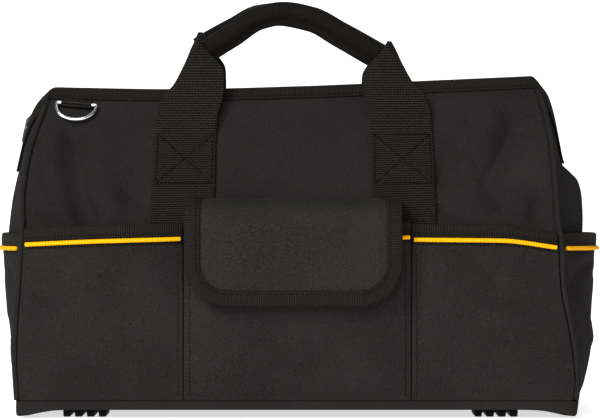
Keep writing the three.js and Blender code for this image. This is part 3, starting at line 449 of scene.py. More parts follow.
def cord_part(points, radius, sides, reference=(0, 0, 1), closed=False, ribs=1.0):
    """Round cord along points, closed on itself or by fans. ribs gives each station's share of the radius."""
    if closed:
        tangents = unit(np.roll(points, -1, axis=0) - np.roll(points, 1, axis=0))
    else:
        tangents = unit(np.gradient(points, axis=0))
    across = unit(np.cross(np.asarray(reference, float), tangents))
    along = np.cross(tangents, across)
    turn = 2 * np.pi * np.arange(sides) / sides
    size = radius * np.broadcast_to(ribs, len(points))
    ring = across[:, None] * np.cos(turn)[:, None] + along[:, None] * np.sin(turn)[:, None]
    grid = points[:, None] + ring * size[:, None, None]
    v = (radius * 2 * np.pi * np.arange(sides + 1) / sides)[None, :]
    if not closed:
        return tube_part(grid, points[0], points[-1], run_length(points)[:, None], v)
    u = run_length(np.concatenate([points, points[:1]]))[:, None]
    quads = grid_quads(len(points), sides, rings=True, tubes=True)
    return turned_out(grid.reshape(-1, 3), [(quads, grid_corners(u, v))])


def stitch_parts(points, normals, pitch, length, width, rise):
    """Row of stitches: copies of one small ellipsoid, evenly along a line on a surface."""
    run = run_length(points)
    count = max(int(run[-1] / pitch), 1)
    middles = (np.arange(count) + 0.5) * run[-1] / count
    place, ahead, behind, normal = (
        np.stack([np.interp(at, run, column) for column in rows.T], axis=-1)
        for rows, at in ((points, middles), (points, middles + 0.5), (points, middles - 0.5), (normals, middles))
    )
    tangent, normal = unit(ahead - behind), unit(normal)
    beside = unit(np.cross(normal, tangent))
    belt, sides = np.array([-0.8, -0.3, 0.3, 0.8])[:, None], 6
    turn = 2 * np.pi * np.arange(sides) / sides
    reach = np.sqrt(1 - belt**2)
    rings = stack(belt * length / 2, reach * np.cos(turn) * width / 2, reach * np.sin(turn) * rise)
    tip = np.array([length / 2, 0, 0])
    shape, patches = tube_part(rings, -tip, tip, np.zeros((len(belt), 1)), np.zeros((1, sides + 1)))
    turned = tangent[:, None] * shape[:, :1] + beside[:, None] * shape[:, 1:2] + normal[:, None] * shape[:, 2:]
    offset = (np.arange(count) * len(shape))[:, None, None]
    copies = []
    for faces, _ in patches:
        every = (faces[None] + offset).reshape(-1, faces.shape[1])
        copies.append((every, np.zeros((*every.shape, 2))))
    return (turned + place[:, None]).reshape(-1, 3), copies


def sewn(line, normals, width, rise):
    """Row of stitches with the pitch and length of the settings."""
    looks = settings()
    return stitch_parts(line, normals, looks.stitch_pitch / MM, looks.stitch_length / MM, width, rise)


def put_piece(name, parts, material, nodes=(), body="bag"):
    """Object made of parts in the frame's metres. It rides on a body and stands for the nodes it replaces."""
    points, loops, starts, corners = [], [], [], []
    point_count = loop_count = 0
    for part_points, patches in parts:
        for faces, uv in patches:
            loops.append(faces.ravel() + point_count)
            starts.append(loop_count + faces.shape[1] * np.arange(len(faces)))
            corners.append(uv.reshape(-1, 2))
            loop_count += faces.size
        points.append((part_points + SHIFT) * MM)
        point_count += len(part_points)
    starts = np.concatenate(starts)
    mesh = bpy.data.meshes.new(name)
    mesh.vertices.add(point_count)
    mesh.vertices.foreach_set("co", np.concatenate(points).astype(np.float32).ravel())
    mesh.loops.add(loop_count)
    mesh.loops.foreach_set("vertex_index", np.concatenate(loops).astype(np.int32))
    mesh.polygons.add(len(starts))
    mesh.polygons.foreach_set("loop_start", starts.astype(np.int32))
    mesh.update(calc_edges=True)
    layer = mesh.uv_layers.new(name="cloth")
    layer.data.foreach_set("uv", np.concatenate(corners).astype(np.float32).ravel())
    mesh.polygons.foreach_set("use_smooth", np.ones(len(starts), bool))
    mesh.materials.append(material)
    piece = bpy.data.objects.new(name, mesh)
    bpy.context.scene.collection.objects.link(piece)
    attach(piece, body)
    if nodes:
        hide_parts(*nodes)
    return piece


# The bag's form, as the part has it


def rim_at(across):
    return RIM_HEIGHT * read(RIM_ACROSS, RIM_SHARE, across)


def seam_at(side, up):
    return side * HALF_LENGTH * read(SEAM_UP, SEAM_LEFT if side == LEFT else SEAM_RIGHT, up)


def end_line_at(side, up):
    return side * HALF_LENGTH * read(END_UP, END_LEFT if side == LEFT else END_RIGHT, up)


def height_at(across, up):
    return SEAM_HEIGHT + (rim_at(across) - SEAM_HEIGHT) * up


def wall_depth(across, up):
    """Distance of a wall from the middle plane: the smaller of the upright wall and the roof's slope, with the turn
    rounded, and a small flare at the lower seam."""
    rim = rim_at(across)
    height = height_at(across, up)
    roof = RIDGE_HALF + (rim - height) * (HALF_DEPTH - RIDGE_HALF) / (rim - SHOULDER_HEIGHT)
    flare = WALL_FLARE * np.exp(-(height - SEAM_HEIGHT) / FLARE_REACH)
    softer = (HALF_DEPTH + roof - np.sqrt((HALF_DEPTH - roof) ** 2 + SHOULDER_ROUND**2)) / 2
    return softer + flare


def wall_normal(face, across, up):
    step = 0.004
    rise = height_at(across, up + step) - height_at(across, up - step)
    out = wall_depth(across, up + step) - wall_depth(across, up - step)
    return unit(stack(0.0, face * rise, -out))


def wall_point(face, across, up, lift=0.0):
    """Point of the front or back wall at shares across and up, lifted along its normal."""
    across, up, lift = np.broadcast_arrays(np.asarray(across, float), up, lift)
    x = mix(seam_at(LEFT, up), seam_at(RIGHT, up), across)
    point = stack(x, face * wall_depth(across, up), height_at(across, up))
    return point + wall_normal(face, across, up) * lift[..., None]


def across_at(x, up):
    return (x - seam_at(LEFT, up)) / (seam_at(RIGHT, up) - seam_at(LEFT, up))


def up_at(height, across):
    return (height - SEAM_HEIGHT) / (rim_at(across) - SEAM_HEIGHT)


def fold_push(x, z, start, end, depth, spread):
    """Push of one fold: depth x exp(-(distance from the line between its start and its end / spread)^2)."""
    x, z = x - start[0], z - start[1]
    run_x, run_z = end[0] - start[0], end[1] - start[1]
    t = np.clip((x * run_x + z * run_z) / (run_x**2 + run_z**2), 0, 1)
    return depth * np.exp(-((np.hypot(x - t * run_x, z - t * run_z) / spread) ** 2))


def fold_depth(across, up):
    """Sum of the front wall's folds, faded out towards its seams, the pockets and the rim."""
    x, z = across * BODY_LENGTH, up * RIM_HEIGHT
    depth = np.zeros(np.broadcast(across, up).shape)
    for fold in FRONT_FOLDS:
        start = (fold["across"] * BODY_LENGTH, fold["up"] * RIM_HEIGHT)
        end = (fold["to_across"] * BODY_LENGTH, fold["to_up"] * RIM_HEIGHT)
        depth += fold_push(x, z, start, end, fold["depth"], fold["spread"])
    fade = smoothstep(np.minimum(across, 1 - across), 0, 0.02) * smoothstep(up, 0.53, 0.57)
    return depth * fade * (1 - smoothstep(up, 0.84, 0.94))


def strap_clear(x):
    """0 where the straps lie on the wall and 1 away from them."""
    away = np.minimum(abs(x - STRAP_LEFT), abs(x - STRAP_RIGHT))
    return smoothstep(away, WEBBING_WIDTH / 2 + 1, WEBBING_WIDTH / 2 + 12)


def end_x(side, y, up):
    """Bowed end: from the seam out to the middle line by 1 - (share of the depth)^2."""
    share = np.minimum(abs(y) / wall_depth(SEAM_ACROSS[side], up), 1.02)
    seam = seam_at(side, up)
    return seam + (end_line_at(side, up) - seam) * (1 - share**2)


def end_point(side, y, up):
    return stack(end_x(side, y, up), y, height_at(SEAM_ACROSS[side], up))


def end_stations():
    """Slit and seam places (y, up, y, up) of an end from the front of its slit round the bottom to the back."""
    inset = CLOTH + GAP
    seam = np.array(END_SEAM)
    normal = wall_normal(FRONT, np.ones_like(seam), np.maximum(seam, 0.02))
    depth = wall_depth(1.0, seam) - inset * abs(normal[:, 1])
    low = np.maximum(seam - inset * normal[:, 2] / (rim_at(1.0) - SEAM_HEIGHT), 0)
    slit = np.array(END_SLIT)
    half = np.full_like(slit, SLIT_HALF)
    front = np.stack([-half, slit, -depth, low], axis=-1)
    back = np.stack([half, slit, depth, low], axis=-1)[::-1]
    share = np.array(END_BOTTOM)
    floor = np.zeros_like(share)
    width = HALF_DEPTH + WALL_FLARE - inset
    bottom = np.stack([share * SLIT_HALF, floor + SLIT_SHARE, share * width, floor], axis=-1)
    return np.concatenate([front, bottom, back])


def end_grid(side, stations, shares):
    """Points of an end between slit and seam places, at shares of the way out."""
    slit_y, slit_up, seam_y, seam_up = (stations[:, k][:, None] for k in range(4))
    shares = np.broadcast_to(shares, (len(stations), np.shape(shares)[-1]))
    return end_point(side, mix(slit_y, seam_y, shares), mix(slit_up, seam_up, shares))


def cord_lift(up):
    return mix(POCKET_LIFT, 3 * GAP, smoothstep(up, 0.5, 0.58))


# Walls, ends and base


def make_walls(cloth):
    """Front and back: the wall's surface on an even grid of shares across and up, pushed in by its folds."""
    for face, name, columns, rows in ((FRONT, "front_panel", 220, 130), (BACK, "back_panel", 150, 90)):
        across = np.linspace(0, 1, columns)[:, None]
        up = np.linspace(0, 1, rows)[None, :]
        bare = wall_point(face, across, up)
        x, z = bare[..., 0], bare[..., 2]
        edge = smoothstep(np.minimum(across, 1 - across), 0, 0.04) * (1 - smoothstep(up, 0.86, 0.95))
        soft = edge * smoothstep(up, 0.52, 0.6) * strap_clear(x)
        push = 0.9 * ripple(x, z, 70, 3 + face) + 0.35 * ripple(x, z, 24, 8 + face) - 0.5
        push = settings().crumple * soft * (np.minimum(push, 0.8) + 0.8 * crease(x, z, 95, 12 + face))
        if face == FRONT:
            push = push - fold_depth(across, up)
        grid = bare + wall_normal(face, across, up) * push[..., None]
        rise = np.broadcast_to(run_length(bare[columns // 2]), z.shape)
        put_piece(name, [sheet_part(grid, CLOTH, (0, face, 0), x, rise)], cloth, [name])


def make_ends(cloth):
    """Ends: rays from the slit out to the seam on a bowed face, with soft dents."""
    coarse = end_stations()
    index = np.arange(len(coarse))
    fine = np.linspace(0, len(coarse) - 1, 150)
    stations = np.stack([read(index, column, fine) for column in coarse.T], axis=-1)
    for side in (LEFT, RIGHT):
        name = f"{SIDE_WORD[side]}_end_panel"
        shares = np.linspace(0, 1, 44)
        grid = end_grid(side, stations, shares)
        y, z = grid[..., 1], grid[..., 2]
        inner = smoothstep(shares, 0.16, 0.34) * (1 - smoothstep(shares, 0.8, 0.97))
        push = 1.1 * ripple(y, z, 60, 20 + side) + 0.35 * ripple(y, z, 22, 24 + side) - 0.6
        push = settings().crumple * (np.minimum(push, 0.8) + 1.0 * crease(y, z, 80, 28 + side)) * inner
        push = push * smoothstep(z, END_POCKET_HEIGHT - 10, END_POCKET_HEIGHT + 8)
        grid[..., 0] += side * push
        put_piece(name, [sheet_part(grid, CLOTH, (side, 0, 0), y, z)], cloth, [name])


def base_plan(along, deep, inset):
    """Place on the base: along runs from the left to the right end and deep from the front to the back."""
    band = GAP + CLOTH
    y = deep * (HALF_DEPTH + WALL_FLARE + band - inset)
    left = end_x(LEFT, deep * HALF_DEPTH, 0.0) - band + inset
    right = end_x(RIGHT, deep * HALF_DEPTH, 0.0) + band - inset
    return mix(left, right, along), y


def base_face(lift, inset):
    """One face of the base tray: rings that go down the band, round its lower edge and in to the middle."""
    side_steps, band_rings, floor_rings = 60, 4, 26
    around = np.linspace(0, 4, 4 * side_steps, endpoint=False)
    side, share = around.astype(int), around % 1
    along = np.select([side == 0, side == 1, side == 2, side == 3], [share, 1.0, 1 - share, 0.0])
    deep = np.select([side == 0, side == 1, side == 2, side == 3], [-1.0, 2 * share - 1, 1.0, 1 - 2 * share])
    bend = np.linspace(0, np.pi / 2, 6)
    radius = BASE_ROUND / 2
    pull = np.concatenate([np.zeros(band_rings), radius * (1 - np.cos(bend[1:])), np.full(floor_rings, radius)])
    scale = np.concatenate([np.ones(band_rings + 5), np.linspace(1, 0.02, floor_rings + 1)[1:]])
    part = np.concatenate([np.linspace(1, 0, band_rings), -np.sin(bend[1:]), np.full(floor_rings, -1.0)])
    a = 0.5 + (along[None] - 0.5) * scale[:, None]
    d = deep[None] * scale[:, None]
    x, y = base_plan(a, d, inset + pull[:, None])
    outer = HALF_DEPTH + WALL_FLARE + GAP + CLOTH
    corner = np.where(x < 0, seam_at(LEFT, 0.0), seam_at(RIGHT, 0.0))
    droop = CORNER_DROOP * np.exp(-((np.hypot(x - corner, abs(y) - outer) / CORNER_REACH) ** 2))
    low = BASE_UNDERSIDE + lift - droop
    top = SEAM_HEIGHT - GAP
    turn = low + radius
    part = part[:, None]
    height = np.where(part >= 0, mix(turn, top, np.maximum(part, 0)), turn + part * radius)
    return stack(x, y, height)


def make_base(cloth):
    """Base: the outer and inner faces of the tray, joined along the band's top and closed in the middle."""
    outer, inner = base_face(0, 0), base_face(CLOTH, CLOTH)
    grid = np.concatenate([outer[::-1], inner])
    whole = np.concatenate([grid, grid[:, :1]], axis=1)
    turn = np.where(np.arange(len(grid)) < len(outer), 1, -1)[:, None]
    u, v = whole[..., 0], whole[..., 1] + turn * whole[..., 2]
    part = tube_part(grid, outer[-1].mean(0), inner[-1].mean(0), u, v)
    put_piece("base_panel", [part], cloth, ["base_panel"])


def make_feet(rubber):
    """Feet: the underside is a row of rounded ribs along x, drawn up at the foot's rim, under a flat top."""
    pitch = FOOT_LENGTH / (FOOT_RIBS - 0.4)
    x = np.linspace(-FOOT_LENGTH / 2, FOOT_LENGTH / 2, 121)[:, None]
    y = np.linspace(-FOOT_WIDTH / 2, FOOT_WIDTH / 2, 40)[None, :]
    place = ((x + FOOT_LENGTH / 2) / pitch) % 1
    into, deep, out = FOOT_GROOVE
    groove = smoothstep(place, into, deep) * (1 - smoothstep(place, out, 1.0))
    rim = np.minimum(FOOT_WIDTH / 2 - abs(y), FOOT_LENGTH / 2 - abs(x))
    edge = FOOT_ROUND * (1 - np.sqrt(1 - (1 - np.clip(rim / FOOT_ROUND, 0, 1)) ** 2))
    low = np.maximum(FOOT_RIB * groove, edge)
    high = np.full_like(low, BASE_UNDERSIDE - GAP)
    for face in (FRONT, BACK):
        for side, middle_x in ((LEFT, FOOT_LEFT), (RIGHT, FOOT_RIGHT)):
            name = f"{FACE_WORD[face]}_{SIDE_WORD[side]}_foot"
            middle_y = face * (HALF_DEPTH - FOOT_INSET)
            outer = stack(x + middle_x, y + middle_y, low)
            inner = stack(x + middle_x, y + middle_y, high)
            put_piece(name, [cloth_part(outer, inner, x, y)], rubber, [name])


def make_seam_cords(cloth):
    """Covered piping of the corner seams: a round cord beside the wall's edge, up to the rim tape, with the strip of
    cloth that holds it in the seam."""
    up = np.linspace(0, SEAM_CORD_TOP, 160)
    for face in (FRONT, BACK):
        for side in (LEFT, RIGHT):
            name = f"{FACE_WORD[face]}_{SIDE_WORD[side]}_seam_cord"
            points = wall_point(face, SEAM_ACROSS[side], up, cord_lift(up))
            points[:, 0] += side * (SEAM_CORD / 2 + GAP)
            points[0, 2] += GAP
            uneven = 1 + 0.05 * ripple(points[:, 2], points[:, 0], 18, 40 + side + 3 * face)
            uneven = uneven * (1 - 0.45 * smoothstep(up, 0.93, 0.96))
            part = cord_part(points, SEAM_CORD / 2, 14, (1, 0, 0), ribs=uneven)
            seam = wall_point(face, SEAM_ACROSS[side], up, -CLOTH)
            seam[:, 0] -= side * SEAM_FLANGE
            share = np.linspace(0, 1, 5)[:, None]
            flange = mix(points[:, None], seam[:, None], share)
            u, v = up[:, None] * RIM_HEIGHT, share[:, 0] * SEAM_CORD
            strip = sheet_part(flange, SEAM_FLANGE / 2, (side, 0, 0), u, v)
            put_piece(name, [part, strip], cloth, [name])


# Tape folded over an edge


def tape_section(width, thickness, lift):
    """Face and back of a tape in (out, in): flat on the cloth, dimpled at its stitches and rounded over the edge."""
    top = -GAP - TAPE
    face = [
        (lift + 0.3, width),
        (lift + 0.9 * TAPE, width - 0.2),
        (lift + TAPE, width - 0.9),
        (lift + TAPE, width - STITCH_INSET + 0.9),
        (lift + TAPE - 0.35, width - STITCH_INSET),
        (lift + TAPE, width - STITCH_INSET - 0.9),
        (lift + TAPE + 0.1, 0.45 * width),
        (lift + TAPE, 1.6),
        (lift + 0.9 * TAPE, 0.3),
        (lift + 0.6 * TAPE, 0.55 * top),
        (lift + 0.05, 0.9 * top),
        (-0.35 * thickness, top),
        (-0.75 * thickness, 0.93 * top),
        (-thickness, 0.7 * top),
    ]
    back = [(lift, place) for _, place in face[:8]]
    back += [(lift, 0.2), (lift, -0.1), (lift - 0.1, -GAP)]
    back += [(-0.35 * thickness, -GAP), (-0.75 * thickness, -GAP), (-thickness, -GAP)]
    back[0] = (lift, width)
    return np.array(face), np.array(back)


def bind(name, points, across, along, width, thickness, lift, tape, thread):
    """Binding tape along stations, with its row of stitches."""
    fine = resample(np.concatenate([points, across, along], axis=1), run_length(points), 2.2)
    points, across, along = fine[:, :3], unit(fine[:, 3:6]), unit(fine[:, 6:])
    face, back = tape_section(width, thickness, lift)
    put_piece(name, [tape_part(points, across, along, face, back)], tape, [name])
    line = points + across * (lift + TAPE - 0.2) + along * (width - STITCH_INSET)
    put_piece(f"{name}_stitches", [sewn(line, across, *TAPE_STITCH)], thread)


def make_rim_bindings(tape, thread):
    """Rim tape: up one slit, along the ridge and down the other slit, on the front and on the back."""
    coarse = end_stations()
    taped = int((np.array(END_SLIT) > RIM_TAPE_END).sum())
    columns = np.linspace(0, 1, 41)
    for face in (FRONT, BACK):
        rows = []
        for side in (LEFT, RIGHT):
            grid = end_grid(side, coarse, [0.0, 0.2])
            pick = np.arange(taped) if face == FRONT else len(coarse) - 1 - np.arange(taped)
            up = coarse[pick, 1]
            edge = unit(np.gradient(grid[pick, 0], axis=0))
            along = end_point(side, face * (SLIT_HALF + RIM_TAPE_WIDTH), up) - end_point(side, face * SLIT_HALF, up)
            along = unit(along - edge * np.sum(along * edge, axis=-1, keepdims=True))
            normal = unit(np.cross(edge, along))
            normal = normal * np.where(normal[:, :1] * side < 0, -1, 1)
            rows.append(np.concatenate([grid[pick, 0], normal, along], axis=1))
        edge = wall_point(face, columns, 1.0)
        below = wall_point(face, columns, 0.955)
        ridge = np.concatenate([edge, wall_normal(face, columns, 0.98), unit(below - edge)], axis=1)
        every = np.concatenate([rows[0][::-1], ridge, rows[1]])
        name = f"{FACE_WORD[face]}_rim_binding"
        bind(name, every[:, :3], every[:, 3:6], every[:, 6:], RIM_TAPE_WIDTH, CLOTH, RIM_GAP, tape, thread)


# Zip


def zip_path():
    slit = np.array(END_SLIT)
    sunk = 1.2 * CLOTH
    down = {}
    for side in (LEFT, RIGHT):
        x = end_line_at(side, slit) - side * (sunk + ZIP_TUCK * (1 - smoothstep(slit, 0.705, 0.735)))
        down[side] = stack(x, 0.0, height_at(SEAM_ACROSS[side], slit))
    ridge = wall_point(FRONT, np.arange(1, 12) / 12, 1.0)
    ridge[:, 1] = 0
    ridge[:, 2] -= sunk
    return np.concatenate([down[LEFT][::-1], ridge, down[RIGHT]])


def zip_frames(points):
    tangent = unit(np.gradient(points, axis=0))
    across = np.broadcast_to([0.0, 1.0, 0.0], points.shape)
    return tangent, across, -np.cross(across, tangent)


def make_zip(tape, metal):
    """Zip: a flat tape along the ridge and both slits with a row of teeth, and a slider with its pull."""
    coarse = zip_path()
    points = resample(coarse, run_length(coarse), 3.0)
    _, across, out = zip_frames(points)
    half = ZIP_WIDTH / 2
    places = np.array([-half, -half + 0.4, 0, half - 0.4, half])
    face = np.stack([places, ZIP_TAPE * np.array([0.7, 1, 1, 1, 0.7])], axis=-1)
    back = np.stack([places, np.zeros(5)], axis=-1)
    put_piece("zip_tape", [tape_part(points, across, out, face, back)], tape, ["zip_tape"])
    teeth = []
    for side in (LEFT, RIGHT):
        line = points + across * side * TEETH_APART / 2 + out * (ZIP_TAPE + TEETH_LIFT)
        teeth.append(stitch_parts(line, out, *TOOTH))
    put_piece("zip_teeth", teeth, tape)
    tangent, across, out = (v[SLIDER_STATION] for v in zip_frames(coarse))
    middle = coarse[SLIDER_STATION] + out * (ZIP_TAPE + SLIDER_LIFT + 2 * GAP)
    a, b = np.linspace(-1, 1, 25)[:, None], np.linspace(-1, 1, 17)[None, :]
    crown = np.sqrt(np.clip(1 - abs(a) ** 4, 0, 1)) * np.sqrt(np.clip(1 - abs(b) ** 4, 0, 1))
    lengthways = tangent * (SLIDER_LENGTH / 2 * a)[..., None]
    plan = middle + lengthways + across * (SLIDER_WIDTH / 2 * b * (1 - 0.12 * a))[..., None]
    shell = cloth_part(plan + out * (0.6 + 1.2 * crown)[..., None], plan, 5 * a, 3 * b)
    turn = np.linspace(0, np.pi, 20)[:, None]
    bridge = middle + tangent * (SLIDER_BRIDGE * np.cos(turn)) + out * (1.2 + 1.6 * np.sin(turn))
    u, v = np.linspace(0, 1, 30)[:, None], np.linspace(-1, 1, 9)[None, :]
    width = 1.9 - 0.5 * np.cos(2 * np.pi * u) * 0.6
    down = middle - tangent * (1.0 + PULL_LENGTH * u)[..., None] + out * (1.2 + 1.4 * (1 - u))[..., None]
    leaf = down + across * (width * v)[..., None]
    thick = out * PULL_WALL / 2
    pull = cloth_part(leaf + thick, leaf - thick, PULL_LENGTH * u, 2 * v)
    parts = [shell, cord_part(bridge, 0.7, 8, across), pull]
    put_piece("zip_slider", parts, metal, ["zip_slider"])


# Pockets


def pocket_grid(face, start, end, tops, stand, squareness, columns, rows):
    """Pocket's outer face: it stands off the wall by stand x (1 - |2t - 1|^squareness) x (0.15 + 0.85 sqrt(row))."""
    t = np.linspace(0, 1, columns)[:, None]
    row = np.linspace(0, 1, rows)[None, :]
    top = POCKET_HEIGHT * read(*tops, t)
    height = mix(SEAM_HEIGHT, top, row)
    up = up_at(height, 0.5)
    left = seam_at(LEFT, up) if start is None else start
    right = seam_at(RIGHT, up) if end is None else end
    bulge = 1 - abs(2 * t - 1) ** squareness
    opened = (0.15 + 0.85 * np.sqrt(row)) * smoothstep(row, 0, 0.07)
    out = HALF_DEPTH + POCKET_LIFT + CLOTH + stand * bulge * opened
    return stack(mix(left, right, t), face * out, height)


def edge_stations(grid, outward):
    """Top edge of a pocket with its outward normals and the way down into the cloth."""
    normals = grid_normals(grid)[:, -1]
    normals = normals * np.where(normals @ outward < 0, -1, 1)[:, None]
    normals[0] = normals[-1] = outward
    down = unit(grid[:, -6] - grid[:, -1])
    return grid[:, -1], unit(normals), down


def pocket_fold(name, x, z):
    """Sum of the folds of a pocket, which hang from its edge."""
    depth = np.zeros(x.shape)
    for fold in POCKET_FOLDS.get(name, ()):
        start, end = (fold["x"], fold["z"]), (fold["to_x"], fold["to_z"])
        depth += fold_push(x, z, start, end, fold["depth"], fold["spread"])
    return depth


def make_pocket(name, grid, outward, seed, folds, cloth, tape, thread, yellow):
    """Pocket cloth with soft creases, its binding with stitches, and its ribbed yellow piping."""
    outward = np.array(outward, float)
    columns, rows = grid.shape[:2]
    t, row = np.linspace(0, 1, columns)[:, None], np.linspace(0, 1, rows)[None, :]
    edge = smoothstep(np.minimum(t, 1 - t), 0, 0.06) * smoothstep(row, 0, 0.08) * (1 - smoothstep(row, 0.8, 0.87))
    x, y, z = grid[..., 0], grid[..., 1], grid[..., 2]
    side, flat = (x, x + y) if abs(outward[1]) > 0.5 else (y, y)
    push = 0.7 * ripple(flat, z, 75, seed) + 0.25 * ripple(flat, z, 26, seed + 1) - 0.3
    push = push + folds * crease(flat, z, 90, seed + 2) - pocket_fold(name, side, z)
    cloth_grid = grid + outward * (settings().crumple * edge * push)[..., None]
    put_piece(name, [sheet_part(cloth_grid, CLOTH, outward, flat, z)], cloth, [name])
    points, across, down = edge_stations(grid, outward)
    bind(f"{name}_binding", points, across, down, POCKET_TAPE_WIDTH, CLOTH, GAP, tape, thread)
    radius = YELLOW_CORD / 2
    line = points + across * (2 * GAP + radius) + down * (POCKET_TAPE_WIDTH + GAP + radius)
    line = resample(line, run_length(line), 0.5)[4:-4]
    ribs = 1 + 0.05 * np.cos(2 * np.pi * run_length(line) / settings().piping_pitch * MM)
    put_piece(f"{name}_piping", [cord_part(line, radius, 12, ribs=ribs)], yellow, [f"{name}_piping"])
    tuck = points + across * (GAP + 0.15) + down * (POCKET_TAPE_WIDTH + YELLOW_CORD + 2.2)
    put_piece(f"{name}_edge_stitches", [sewn(tuck, across, *EDGE_STITCH)], thread)


def make_front_pockets(cloth, tape, thread, yellow):
    """Left, middle and right pockets of the front, and the stitches of the seams between them."""
    outward = (0, FRONT, 0)
    gap = 2 * GAP
    left, centre, right = "front_left_pocket", "front_centre_pocket", "front_right_pocket"
    grids = {
        left: pocket_grid(FRONT, None, DIVIDER_LEFT - gap, LEFT_TOP, POCKET_STAND, 2.6, 100, 90),
        centre: pocket_grid(FRONT, DIVIDER_LEFT, DIVIDER_RIGHT, CENTRE_TOP, CENTRE_STAND, 5, 120, 90),
        right: pocket_grid(FRONT, DIVIDER_RIGHT + gap, None, RIGHT_TOP, POCKET_STAND, 2.6, 100, 90),
    }
    for seed, (name, grid) in enumerate(grids.items()):
        make_pocket(name, grid, outward, 50 + 3 * seed, 0.5, cloth, tape, thread, yellow)
    rows = []
    for name, column in ((left, -4), (centre, 3), (centre, -4), (right, 3)):
        line = grids[name][column, 2:-14] + np.array(outward) * 0.2
        rows.append(stitch_parts(line, np.broadcast_to(outward, line.shape).astype(float), *DIVIDER_STITCH))
    put_piece("divider_stitches", rows, thread)


def make_back_pocket(cloth, tape, thread, yellow):
    """One plain pocket along the back."""
    grid = pocket_grid(BACK, None, None, BACK_TOP, CENTRE_STAND, 4, 150, 70)
    make_pocket("back_pocket", grid, (0, BACK, 0), 70, 0.6, cloth, tape, thread, yellow)


def make_end_pockets(cloth, tape, thread, yellow):
    """Pockets of the two ends: the bowed end's face, moved out."""
    for side, stand in ((LEFT, LEFT_POCKET_STAND), (RIGHT, RIGHT_POCKET_STAND)):
        t = np.linspace(0, 1, 90)[:, None]
        row = np.linspace(0, 1, 80)[None, :]
        height = mix(SEAM_HEIGHT, END_POCKET_HEIGHT, row)
        up = up_at(height, SEAM_ACROSS[side])
        piping = abs(wall_point(FRONT, SEAM_ACROSS[side], up, cord_lift(up))[..., 1])
        reach = piping - SEAM_CORD / 2 - 4 * GAP
        y = mix(-reach, reach, t)
        opened = (0.3 + 0.7 * np.sqrt(row)) * smoothstep(row, 0, 0.07)
        lift = 3 * GAP + CLOTH + stand * (1 - abs(2 * t - 1) ** 3) * opened
        grid = stack(end_x(side, y, up) + side * lift, y, height)
        name = f"{SIDE_WORD[side]}_end_pocket"
        make_pocket(name, grid, (side, 0, 0), 80 + side, 0.8, cloth, tape, thread, yellow)


# Flap


def flap_half(down):
    """Half width of the flap: full, then a quarter circle in to the free edge."""
    into = np.maximum(FLAP_CORNER - (1 - down) * FLAP_DROP, 0)
    return FLAP_WIDTH / 2 - FLAP_CORNER + np.sqrt(np.maximum(FLAP_CORNER**2 - into**2, 0))


def make_flap(flap_cloth, tape, thread):
    """Flap: a profile that comes out of its fold and drops, as wide as its rounded outline, and its bound edge."""
    up = up_at(FLAP_TOP, 0.5)
    normal = wall_normal(FRONT, 0.5, up)
    fold = wall_point(FRONT, 0.5, up, POCKET_LIFT + FLAP_CLOTH * normal[..., 2] + GAP)
    rows, columns = 71, 91
    even = np.linspace(0, 1, rows)
    down = 1 - (1 - even) ** 1.6
    out, fall = read(FLAP_DOWN, FLAP_OUT, down), read(FLAP_DOWN, FLAP_FALL, down)
    y = mix(fold[1], -(HALF_DEPTH + FLAP_STAND), out)[:, None]
    z = (fold[2] - FLAP_DROP * fall)[:, None]
    t = np.linspace(-1, 1, columns)[None, :]
    x = FLAP_MIDDLE + flap_half(fall)[:, None] * t
    bare = stack(x, y, z)
    normals = grid_normals(bare)
    normals = normals * np.where(normals[..., 1:2] > 0, -1, 1)
    down = down[:, None]
    edge = (1 - smoothstep(abs(t), 0.8, 0.88)) * (1 - smoothstep(down, 0.8, 0.86)) * smoothstep(down, 0, 0.1)
    push = settings().crumple * edge * (1.0 + 0.5 * ripple(x, z, 80, 91) + 0.2 * ripple(x, z, 30, 92))
    grid = bare + normals * push[..., None]
    v = np.broadcast_to(run_length(bare[:, columns // 2])[:, None], x.shape)
    piece = put_piece("flap", [sheet_part(grid, FLAP_CLOTH, (0, FRONT, 0), x, v)], flap_cloth, ["flap"])
    i = np.concatenate([np.arange(rows), np.full(columns - 2, rows - 1), np.arange(rows)[::-1]])
    j = np.concatenate([np.zeros(rows, int), np.arange(1, columns - 1), np.full(rows, columns - 1)])
    line, out = bare[i, j], normals[i, j]
    fine = resample(np.concatenate([line, out], axis=1), run_length(line), 4.0)
    line, out = fine[:, :3], unit(fine[:, 3:])
    along = unit(np.cross(out, unit(np.gradient(line, axis=0))))
    bind("flap_binding", line, out, along, FLAP_TAPE_WIDTH, FLAP_CLOTH, GAP, tape, thread)


# Handles


def grip_x(along):
    return GRIP_MIDDLE + GRIP_LENGTH * (along - 0.5)


def grip_z(face, along):
    """Height of a grip's middle line. The back handle stands taller at its left, where the photograph shows it."""
    slope = (GRIP_SHARE[1] - GRIP_SHARE[0]) / GRIP_ALONG[1]
    beyond = np.minimum(along, 0) * slope - np.maximum(np.asarray(along) - 1, 0) * slope
    taller = (BACK_LIFT if face == BACK else 0) * (1 - smoothstep(along, 0, 0.55))
    return GRIP_HEIGHT + taller - GRIP_RISE * (1 - read(GRIP_ALONG, GRIP_SHARE, np.clip(along, 0, 1)) - beyond)


